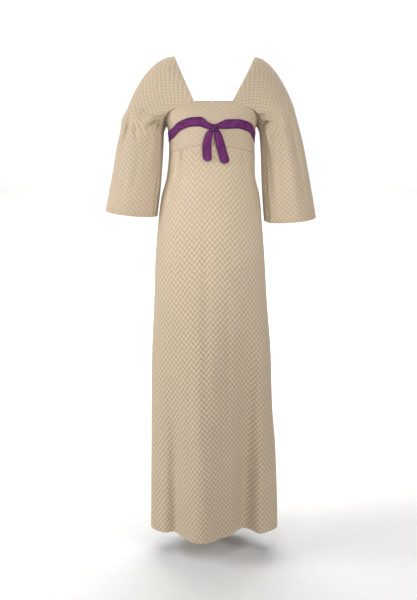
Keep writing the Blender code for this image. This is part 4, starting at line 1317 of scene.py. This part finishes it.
class DRESS_OT_skirt(Operator):
    """Skirt front with its two darts, and the two skirt backs"""
    bl_idname = "dress.skirt"
    bl_label = "Skirt"

    def execute(self, context):
        level = -0.80
        front = turns_between(-90.0, 90.0, level, shares(0.42, 150))
        offsets = np.linspace(-DART_SPREAD, DART_SPREAD, DART_COLUMNS) * DART_HALF
        for x, height, x_end, _ in DARTS:
            low = np.full(DART_COLUMNS, height - 0.03)
            front = merged_turns(front, front_turn(0.5 * (x + x_end) + offsets, low))
        back = turns_between(90.0, 180.0, level, shares(0.26, 84))
        middle = int(np.argmin(np.abs(front)))
        for name, turns, grain in front_and_backs("skirt", front, back, middle):
            make_panel(context, name, turns, (lapped(skirt_seam, 1.0), hem_line),
                       shares(1.13, 190, True, False), (1.0, 1.0, SKIRT_SEAM_TUCK, 0.0), grain,
                       hem=context.scene.dress_cloth.hem)
        return {"FINISHED"}


def sleeve_grid(side, angles, head, sleeve):
    """Points of a sleeve from neck edge to cuff with its folds and creases, and the sign that
    turns its grid outwards."""
    rings, folds, creases = (
        (LEFT_RINGS, LEFT_SLEEVE_FOLDS, LEFT_SLEEVE_CREASES) if side > 0 else
        (RIGHT_RINGS, RIGHT_SLEEVE_FOLDS, RIGHT_SLEEVE_CREASES))
    angle, part = np.meshgrid(angles, head)
    top = head_point(rings, side, angle, part)
    low_angle, row = np.meshgrid(angles, sleeve)
    low = ring_point(rings, side, low_angle, row)
    grid = np.concatenate((top, low[1:]))
    level = np.concatenate((part - 1.0, row[1:]))
    angle = np.concatenate((angle, low_angle[1:]))
    sign = -float(side)
    push = sleeve_fold(folds, angle, level) + crease_push(grid, angle, level, creases)
    push = push * ease(along(grid, 0) / SLEEVE_FOLD_START)
    return grid + push[..., None] * grid_out(grid, sign), sign


def cuff_groove(grid, out, above_cuff, height):
    """Grid with the puckered groove that the cuff's hem stitching draws in."""
    run = along(grid, 1)
    wander = 2.0 * np.sin(run / PUCKER_WANDER)
    pucker = 0.5 + 0.5 * np.sin(2.0 * np.pi * run / PUCKER_RUN + wander)
    line = hump((above_cuff - height) / CUFF_HALF)
    return grid - ((CUFF_DEPTH + CUFF_PUCKER * pucker) * line)[..., None] * out


class DRESS_OT_sleeves(Operator):
    """Sleeves cut up to the neck edge, with an underarm seam and a stitched cuff hem"""
    bl_idname = "dress.sleeves"
    bl_label = "Sleeves"

    def execute(self, context):
        sizes = context.scene.dress_cloth
        angles = SLEEVE_TURN * (2.0 * shares(0.5, 216) - 1.0)
        head = shares(0.16, 66, True, False)
        sleeve = np.concatenate((np.linspace(0.0, 0.945, 76), np.linspace(0.95, 1.0, 20)))
        for name, side in (("sleeve_left", 1), ("sleeve_right", -1)):
            grid, sign = sleeve_grid(side, angles, head, sleeve)
            out = grid_out(grid, sign)
            down = along(grid, 0)
            above_cuff = down[-1:] - down
            grid = cuff_groove(grid, out, above_cuff, context.scene.dress_sewing.cuff_line)
            away = np.abs(np.degrees(angles))
            seam = ease((away - UNDERARM_FROM) / UNDERARM_FADE)
            deep = seam * armpit_tuck((away - 90.0) / 90.0)
            edge = grid[0]
            turn = np.arctan2(edge[:, 0] - columns_at(SECTIONS, edge[:, 2])[0], -edge[:, 1])
            at_seam = (down < TUCK_WIDTH) & (seam > 0.0)
            inward = np.where(at_seam[..., None], body_out(turn, edge[:, 2]), out)
            grid = tucked(grid, inward, (1.0, 1.0, deep, 0.0), sizes.tuck)
            thick = thickened(sizes.thick, above_cuff, sizes.cuff_hem)
            thick += thickened(sizes.thick, down, sizes.neck_fold, 1.0 - seam) - sizes.thick
            column = int(np.argmin(np.abs(np.degrees(angles) - SLEEVE_GRAIN)))
            flat = cloth_map(grid[::-1], column)[::-1] * (-side, SLEEVE_WEAVE_PRESS)
            piece = add_shell(name + "_cloth", grid, flat, thick, sign, cloth_material(context),
                              BOLD_SLEEVE)
            declare_sheet(piece, [name])
        return {"FINISHED"}


def ribbon_grid(sizes, rows=17, columns=340):
    """Ribbon from the knot round the body and back to it, pleated where it is drawn in."""
    start = float(front_turn(np.array(KNOT_X), np.array(KNOT_HEIGHT)))
    ends = np.linspace(0.0, RIBBON_NEAR, RIBBON_NEAR_COLUMNS)[:-1]
    turns = np.concatenate((ends, np.linspace(RIBBON_NEAR, 2.0 * math.pi - RIBBON_NEAR, columns),
                            (2.0 * math.pi - ends)[::-1])) + start
    share = np.linspace(1.0, -1.0, rows)[:, None]
    middle = ribbon_line(turns)
    from_knot = np.abs(body_form(turns, middle)[:, 0] - KNOT_X) / RIBBON_DRAWN_SPAN
    ahead = np.cos(turns) > 0.0
    drawn = np.where(ahead, ease(from_knot), 1.0)
    half = RIBBON_DRAWN_HALF + (RIBBON_HALF - RIBBON_DRAWN_HALF) * drawn
    heights = middle + share * half
    near_knot = np.where(ahead, 1.0 - ease(from_knot / 1.5), 0.0)
    phase = PLEATS_ACROSS * share + PLEAT_WANDER * np.sin(turns * 9.0)
    pleats = 0.5 + 0.5 * np.cos(math.pi * phase)
    wander = sum(height * np.sin(turns * waves + first) for height, waves, first in RIBBON_WAVES)
    lift = sizes.clear + RIBBON_WALL + RIBBON_CROWN * (1.0 - share ** 2)
    lift = lift + PLEAT_DEPTH * pleats * near_knot
    lift = lift + np.maximum(wander, -RIBBON_SETTLE) * (1.0 - near_knot)
    return body_at(np.broadcast_to(turns, lift.shape), heights, lift)


def tail_grid(rows, end, columns=33, steps=90):
    """Points of one hanging ribbon end, folded where it leaves the knot, with a round tip."""
    length = TAIL_TOP - end
    share = 1.0 - (1.0 - np.linspace(0.0, 1.0, steps)) ** 1.5
    x, half, off = columns_at(rows, share)
    inside = np.maximum(TAIL_TIP_RADIUS - (1.0 - share) * length - TAIL_TIP_BLUNT, 0.0)
    half = np.minimum(half, np.sqrt(TAIL_TIP_RADIUS ** 2 - inside ** 2))
    across = np.linspace(-1.0, 1.0, columns)
    height = np.broadcast_to((TAIL_TOP - share * length)[:, None], (steps, columns))
    spot = x[:, None] + across * half[:, None]
    fold = (1.0 - ease(share / 0.55))[:, None]
    pleat = PLEAT_DEPTH * fold * np.cos(math.pi * 1.5 * (across + 0.25))
    twist = TAIL_TWIST * np.sin(7.0 * share + 0.6)[:, None]
    curl = TAIL_CURL * (1.0 - across ** 2) + twist * across
    rise = TAIL_RISE * ease((share - 0.8) / 0.2)[:, None]
    lift = off[:, None] + RIBBON_WALL + curl + pleat + rise
    return body_at(front_turn(spot, height), height, lift)


class DRESS_OT_ribbon(Operator):
    """Ribbon round the body, its knot and its two free ends"""
    bl_idname = "dress.ribbon"
    bl_label = "Ribbon"

    def execute(self, context):
        sizes = context.scene.dress_ribbon
        velvet = cut_pile_ribbon(sizes)
        knot = self.knot(sizes, velvet)
        for name, grid, held, tied_to in (
                ("ribbon_band", ribbon_grid(sizes), "stretched", [knot]),
                ("ribbon_tail_left", tail_grid(TAIL_LEFT_ROWS, TAIL_LEFT_END), "hung", []),
                ("ribbon_tail_right", tail_grid(TAIL_RIGHT_ROWS, TAIL_RIGHT_END), "hung", [])):
            thick = np.full(grid.shape[:2], sizes.thick)
            flat = cloth_map(grid, 0)
            share = np.linspace(-1.0, 1.0, grid.shape[0])[:, None]
            if held == "hung":
                flat = flat[..., ::-1]
                share = np.linspace(-1.0, 1.0, grid.shape[1])
            # Painted shade: this share of the full purple is 1 in the ribbon's middle and falls to
            # 0 at its edges, darkening them.
            pile = 1.0 - ease((np.abs(share) - 0.55) / 0.45)
            piece = add_shell(name + "_velvet", grid, flat, thick, 1.0, velvet, pile)
            declare_sheet(piece, [name])
        return {"FINISHED"}

    def knot(self, sizes, velvet):
        """Round knot with the ribbon's slanting wrap drawn tight over it."""
        turn = front_turn(np.array(KNOT_X), np.array(KNOT_HEIGHT))
        off = sizes.clear + RIBBON_WALL + 0.0006 + KNOT_HALF[1]
        place = body_at(turn, np.array(KNOT_HEIGHT - KNOT_DROP), off)
        knot = new_part(bpy.ops.mesh.primitive_uv_sphere_add, velvet,
                        segments=96, ring_count=64, radius=1.0)
        knot.name = "ribbon_knot_velvet"
        mesh = knot.data
        ball = np.zeros(len(mesh.vertices) * 3)
        mesh.vertices.foreach_get("co", ball)
        ball = ball.reshape(-1, 3)
        shaped = np.sign(ball) * np.abs(ball) ** KNOT_ROUND
        slant = shaped[:, 0] * math.cos(KNOT_SLANT) - shaped[:, 2] * math.sin(KNOT_SLANT)
        along_wrap = shaped[:, 0] * math.sin(KNOT_SLANT) + shaped[:, 2] * math.cos(KNOT_SLANT)
        deep, place_of_rim, half_rim = KNOT_RIM
        wrap = hump(slant / KNOT_WRAP_HALF)
        wrap = wrap - deep * hump((np.abs(slant) - place_of_rim) / half_rim)
        high, waves, wander, half = KNOT_PLEATS
        wrap = wrap + high * np.cos(slant * waves + wander * along_wrap) * hump(slant / half)
        spread = np.array(KNOT_HALF) * (1.0 - KNOT_GROOVE / KNOT_HALF[1])
        points = shaped * spread + unit(ball) * (KNOT_GROOVE * wrap)[:, None]
        points[:, 2] += KNOT_SAG[0] * np.sin(KNOT_SAG[1] * shaped[:, 0])
        mesh.vertices.foreach_set("co", (points + place).ravel())
        mesh.uv_layers.active.name = "cloth"
        flat = np.stack((along_wrap, slant), axis=-1) * KNOT_HALF[0]
        write_map(mesh, mesh.uv_layers.active, flat)
        # Painted shade: the wrap's colour darkens to the deep purple towards its edges.
        write_share(mesh, "bold", 1.0 - ease((np.abs(slant) - 0.45) / 0.5))
        mesh.shade_smooth()
        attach(knot, DRESS)
        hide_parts("ribbon_knot")
        return knot


def frame_at(place, first, second):
    """Frame at a place from its first two axes."""
    turned = Matrix((first, second, first.cross(second))).transposed().to_4x4()
    turned.translation = Vector(place)
    return turned


def slider_frame():
    """Frame on the back: origin on the cloth, x across, y out of the cloth, z up along it."""
    turn, height = np.array(math.pi), np.array(SLIDER_HEIGHT)
    out = body_out(turn, height)
    out = Vector((0.0, out[1], out[2])).normalized()
    return frame_at(body_form(turn, height), Vector((1.0, 0.0, 0.0)), out)


def back_grid(x, height, off):
    """Points at an x off the middle back line and a distance off the cloth."""
    x, height = np.broadcast_arrays(x, height)
    turn = back_turn(x, height)
    return body_at(turn, height, np.broadcast_to(off, x.shape))


def new_part(add, material, scale=(1.0, 1.0, 1.0), **settings):
    """Primitive with its place, turn and scale in its mesh, still to be shaped."""
    bpy.ops.object.select_all(action="DESELECT")
    add(**settings)
    thing = bpy.context.active_object
    thing.scale = scale
    bpy.ops.object.transform_apply(location=True, rotation=True, scale=True)
    thing.data.materials.append(material)
    return thing


def new_cube(centre, half, material):
    """Cube with its half sizes, at its place."""
    return new_part(bpy.ops.mesh.primitive_cube_add, material, half, size=2.0, location=centre)


def edit(thing, chosen, action):
    """Select a mesh's points by their place, and shape them in edit mode."""
    bpy.context.view_layer.objects.active = thing
    bpy.ops.object.mode_set(mode="EDIT")
    bpy.ops.mesh.select_mode(type="VERT")
    bpy.ops.mesh.select_all(action="DESELECT")
    shell = bmesh.from_edit_mesh(thing.data)
    for point in shell.verts:
        point.select = chosen(point.co)
    shell.select_flush(True)
    bmesh.update_edit_mesh(thing.data)
    action()
    bpy.ops.object.mode_set(mode="OBJECT")


def bevelled(thing, width, segments=3):
    """Round the edges of a hard piece."""
    edit(thing, lambda point: True,
         lambda: bpy.ops.mesh.bevel(offset=width, segments=segments, affect="EDGES"))
    return thing


def joined(name, parts):
    """One object from several, with its place in its mesh."""
    bpy.ops.object.select_all(action="DESELECT")
    for part in parts:
        part.select_set(True)
    bpy.context.view_layer.objects.active = parts[0]
    bpy.ops.object.join()
    bpy.ops.object.transform_apply(location=True, rotation=True, scale=True)
    whole = bpy.context.active_object
    whole.name = name
    bpy.ops.object.shade_smooth_by_angle(angle=math.radians(40.0))
    return whole


def copied(name, model, places):
    """A modelled piece copied to each place, as one object."""
    shell = bmesh.new()
    for place in places:
        copy = model.data.copy()
        copy.transform(place)
        shell.from_mesh(copy)
        bpy.data.meshes.remove(copy)
    mesh = bpy.data.meshes.new(name)
    shell.to_mesh(mesh)
    shell.free()
    mesh.materials.append(model.data.materials[0])
    bpy.data.objects.remove(model)
    return link_mesh(name, mesh)


class DRESS_OT_zip(Operator):
    """Zip at the middle back: tape, teeth, slider and hinged pull tab"""
    bl_idname = "dress.zip"
    bl_label = "Zip"

    def execute(self, context):
        sizes = context.scene.dress_zip
        brass = tumbled_brass(sizes)
        self.tape(sizes)
        self.teeth(sizes, brass)
        self.slider(brass)
        self.pull_tab(brass)
        return {"FINISHED"}

    def tape(self, sizes):
        """Woven tape behind the back edges."""
        across = np.linspace(-sizes.tape_half, sizes.tape_half, 17)
        heights = np.linspace(ZIP_TOP + TAPE_OVER, ZIP_END, 120)
        grid = back_grid(across[None, ::-1], heights[:, None], TAPE_LEVEL)
        thick = np.full(grid.shape[:2], TAPE_THICK)
        piece = add_shell("zip_tape_weave", grid, cloth_map(grid, 8), thick, 1.0,
                          herringbone_tape(sizes))
        declare_sheet(piece, ["zip_tape"])

    def teeth(self, sizes, brass):
        """Interlocked teeth from the slider down to the end of the zip."""
        half = (0.5 * sizes.tooth, 0.0006, 0.36 * sizes.pitch)
        tooth = bevelled(new_cube((0.0, 0.0, 0.0), half, brass), 0.00022, 2)
        edit(tooth, lambda point: point.x > 0.9 * half[0],
             lambda: bpy.ops.transform.resize(value=(1.0, 0.8, 0.7)))
        places = []
        start = SLIDER_HEIGHT - SLIDER_HALF[2]
        count = int((start - ZIP_END - CHAIN_SHORT) / (0.5 * sizes.pitch))
        for step in range(count):
            side = 1.0 if step % 2 else -1.0
            height = np.array(start - 0.5 * sizes.pitch * step)
            spot = back_grid(np.array(TOOTH_OFF * side), height, CHAIN_LEVEL)
            out = Vector(body_out(np.array(math.pi), height))
            places.append(frame_at(spot, Vector((-side, 0.0, 0.0)), out))
        piece = copied("zip_teeth", tooth, places)
        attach(piece, DRESS)
        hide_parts("zip_tape")

    def slider(self, brass):
        """Slider body, narrower at its foot, with two ears and the hinge pin."""
        half = SLIDER_HALF
        plate = new_cube((0.0, SLIDER_LIFT, 0.0), half, brass)
        edit(plate, lambda point: point.z < 0.0,
             lambda: bpy.ops.transform.resize(value=(0.66, 1.0, 1.0)))
        bevelled(plate, 0.0006)
        core = new_cube(*CORE, brass)
        bevelled(core, 0.0003)
        parts = [plate, core]
        for sign in (-1.0, 1.0):
            ear = new_cube((sign * EAR_SPOT[0], EAR_SPOT[1], 0.0), EAR_HALF, brass)
            edit(ear, lambda point: point.y > EAR_SPOT[1],
                 lambda: bpy.ops.transform.resize(value=(1.0, 1.0, 0.75)))
            parts.append(bevelled(ear, 0.0003))
        pin = new_part(bpy.ops.mesh.primitive_cylinder_add, brass, vertices=24,
                       radius=PIN_RADIUS, depth=PIN_LENGTH, location=(0.0, PIN_OFF, 0.0),
                       rotation=(0.0, 0.5 * math.pi, 0.0))
        parts.append(bevelled(pin, 0.0001, 1))
        piece = joined("zip_slider_body", parts)
        piece.data.transform(slider_frame())
        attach(piece, DRESS)
        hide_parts("zip_slider")

    def pull_tab(self, brass):
        """Pull tab: an eye round the pin, and a flat blade that widens to a round end."""
        eye = new_part(bpy.ops.mesh.primitive_torus_add, brass, (1.0, 1.0, 2.4),
                       major_segments=36, minor_segments=16, major_radius=EYE_RADIUS,
                       minor_radius=EYE_WIRE, rotation=(0.0, 0.5 * math.pi, 0.0))
        blade = new_part(bpy.ops.mesh.primitive_circle_add, brass, vertices=48, radius=1.0,
                         fill_type="NGON", rotation=(0.5 * math.pi, 0.0, 0.0))
        for point in blade.data.vertices:
            part = 0.5 * (1.0 - point.co.z)
            height = TAB_TOP + (-TAB_LENGTH - TAB_TOP) * part
            wide = TAB_NECK_HALF + (TAB_HALF - TAB_NECK_HALF) * float(ease(part / 0.7))
            left = height + TAB_LENGTH
            tip = math.sqrt(max(0.0, 1.0 - max(0.0, 1.0 - left / TAB_HALF) ** 2))
            side = 0.0 if abs(point.co.x) < 0.001 else math.copysign(1.0, point.co.x)
            point.co = (side * min(wide, TAB_HALF * tip), 0.5 * TAB_THICK, height)
        edit(blade, lambda point: True, lambda: bpy.ops.mesh.extrude_region_move(
            TRANSFORM_OT_translate={"value": (0.0, -TAB_THICK, 0.0)}))
        edit(blade, lambda point: True, lambda: bpy.ops.mesh.normals_make_consistent(inside=False))
        hole = new_part(bpy.ops.mesh.primitive_cylinder_add, brass, (1.0, 1.6, 1.0),
                        vertices=32, radius=HOLE_RADIUS, depth=0.01,
                        location=(0.0, 0.0, HOLE_UP - TAB_LENGTH),
                        rotation=(0.5 * math.pi, 0.0, 0.0))
        cut = blade.modifiers.new("hole", "BOOLEAN")
        cut.operation = "DIFFERENCE"
        cut.object = hole
        bpy.context.view_layer.objects.active = blade
        bpy.ops.object.modifier_apply(modifier="hole")
        bpy.data.objects.remove(hole)
        soft = blade.modifiers.new("edges", "BEVEL")
        soft.width = 0.00018
        soft.segments = 2
        soft.limit_method = "ANGLE"
        bpy.ops.object.modifier_apply(modifier="edges")
        piece = joined("zip_pull_tab_blade", [blade, eye])
        piece.data.transform(slider_frame() @ Matrix.Translation((0.0, PIN_OFF, 0.0)))
        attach(piece, TAB)
        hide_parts("zip_pull_tab")


def stitch_places(points, out, stitch, gap):
    """Frames for stitches along a line of points: x along it, z out of the cloth."""
    run = along(points[None], 1)[0]

    def at(length, values):
        return Vector([np.interp(length, run, values[:, axis]) for axis in range(3)])

    places = []
    for middle in np.arange(0.5 * stitch + gap, run[-1] - 0.5 * stitch, stitch + gap):
        spot = at(middle, points)
        forward = (at(middle + 0.4 * stitch, points) - spot).normalized()
        places.append(frame_at(spot, forward, at(middle, out).cross(forward).normalized()))
    return places


class DRESS_OT_stitching(Operator):
    """Hem stitches above the cuffs and the rows that hold the zip"""
    bl_idname = "dress.stitching"
    bl_label = "Stitching"

    def execute(self, context):
        sewing = context.scene.dress_sewing
        thread = twisted_thread(sewing)
        lines = []
        angles = SLEEVE_TURN * np.linspace(-0.985, 0.985, 400)
        head = np.linspace(0.0, 1.0, 30)
        for name, side in (("cuff_stitches_left", 1), ("cuff_stitches_right", -1)):
            grid, sign = sleeve_grid(side, angles, head, np.linspace(0.0, 1.0, 160))
            down = along(grid, 0)
            row = np.argmin(np.abs(down[-1] - down - sewing.cuff_line), axis=0)
            pick = np.arange(len(angles))
            out = grid_out(grid, sign)[row, pick]
            lines.append((name, grid[row, pick] - CUFF_STITCH_SUNK * out, out))
        heights = np.linspace(ZIP_TOP - 0.002, ZIP_END, 200)
        for name, sign in (("zip_stitches_left", 1.0), ("zip_stitches_right", -1.0)):
            turn = back_turn(np.full(200, sign * sewing.zip_line), heights)
            lines.append((name, body_form(turn, heights), body_out(turn, heights)))
        size = (sewing.radius, sewing.radius, 0.5 * sewing.stitch)
        for name, points, out in lines:
            model = new_part(bpy.ops.mesh.primitive_uv_sphere_add, thread, size, segments=8,
                             ring_count=5, radius=1.0, rotation=(0.0, 0.5 * math.pi, 0.0))
            piece = copied(name, model, stitch_places(points, out, sewing.stitch, sewing.gap))
            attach(piece, DRESS)
        return {"FINISHED"}


def area_light(name, place, target, power, size, spread):
    """Soft rectangular light at a place, facing a target, with the spread of its grid."""
    light = bpy.data.lights.new(name, "AREA")
    light.energy = power
    light.shape = "RECTANGLE"
    light.size, light.size_y = size
    light.spread = spread
    lamp = bpy.data.objects.new(name, light)
    bpy.context.scene.collection.objects.link(lamp)
    lamp.location = place
    lamp.rotation_euler = (Vector(target) - Vector(place)).to_track_quat("-Z", "Y").to_euler()


class DRESS_OT_stage(Operator):
    """White paper floor and cove, soft studio light and the camera"""
    bl_idname = "dress.stage"
    bl_label = "Stage"

    def execute(self, context):
        stage = context.scene.dress_stage
        line = [(-COVE_HALF, stage.floor)]
        for step in range(stage.steps + 1):
            turn = 0.5 * math.pi * step / stage.steps
            line.append((COVE_DEPTH + COVE_BEND * math.sin(turn),
                         stage.floor + COVE_BEND * (1.0 - math.cos(turn))))
        line.append((COVE_DEPTH + COVE_BEND, stage.floor + COVE_HEIGHT))
        points = [(x, y, z) for y, z in line for x in (-COVE_HALF, COVE_HALF)]
        faces = [(2 * row, 2 * row + 1, 2 * row + 3, 2 * row + 2) for row in range(len(line) - 1)]
        cove = add_mesh("paper_backdrop", points, faces, backdrop_paper(stage))
        link_mesh("paper_backdrop", cove)
        world = bpy.data.worlds.new("studio")
        context.scene.world = world
        world.use_nodes = True
        sky = world.node_tree.nodes["Background"]
        sky.inputs["Color"].default_value = (1.0, 1.0, 1.0, 1.0)
        sky.inputs["Strength"].default_value = stage.sky
        for name, place, target, setting, size, spread in LIGHTS:
            area_light(name, place, target, getattr(stage, setting), size, math.radians(spread))
        lens = bpy.data.cameras.new("studio_camera")
        lens.lens = stage.lens
        lens.sensor_width = 36.0
        camera = bpy.data.objects.new("studio_camera", lens)
        context.scene.collection.objects.link(camera)
        camera.location = (CAMERA_X, -stage.distance, CAMERA_HEIGHT)
        camera.rotation_euler = (0.5 * math.pi - stage.pitch, 0.0, 0.0)
        context.scene.camera = camera
        context.scene.view_settings.view_transform = "Standard"
        return {"FINISHED"}


STEPS = (DRESS_OT_bodice, DRESS_OT_midriff, DRESS_OT_skirt, DRESS_OT_sleeves, DRESS_OT_ribbon,
         DRESS_OT_zip, DRESS_OT_stitching, DRESS_OT_stage)
SETTINGS = (
    ("dress_cloth", DressClothSizes),
    ("dress_ribbon", DressRibbonSizes),
    ("dress_sewing", DressSewingSizes),
    ("dress_zip", DressZipSizes),
    ("dress_stage", DressStageSettings),
)


class VIEW3D_PT_dress(Panel):
    """Sidebar list of the dress's pieces and settings"""
    bl_label = "Maxi Dress"
    bl_idname = "VIEW3D_PT_dress"
    bl_space_type = "VIEW_3D"
    bl_region_type = "UI"
    bl_category = "Dress"

    def draw(self, context):
        column = self.layout.column(align=True)
        for step in STEPS:
            column.operator(step.bl_idname)
        for name, group in SETTINGS:
            box = self.layout.box()
            for setting in group.__annotations__:
                box.prop(getattr(context.scene, name), setting)


def register():
    """Add the settings, the operators and the sidebar panel."""
    for name, group in SETTINGS:
        bpy.utils.register_class(group)
        setattr(bpy.types.Scene, name, PointerProperty(type=group))
    for kind in (*STEPS, VIEW3D_PT_dress):
        bpy.utils.register_class(kind)


def unregister():
    """Take the panel, the operators and the settings away again."""
    for kind in (VIEW3D_PT_dress, *reversed(STEPS)):
        bpy.utils.unregister_class(kind)
    for name, group in reversed(SETTINGS):
        delattr(bpy.types.Scene, name)
        bpy.utils.unregister_class(group)


def main():
    """Build every piece in order."""
    register()
    for step in STEPS:
        group, action = step.bl_idname.split(".")
        getattr(getattr(bpy.ops, group), action)()


if __name__ == "__main__":
    main()
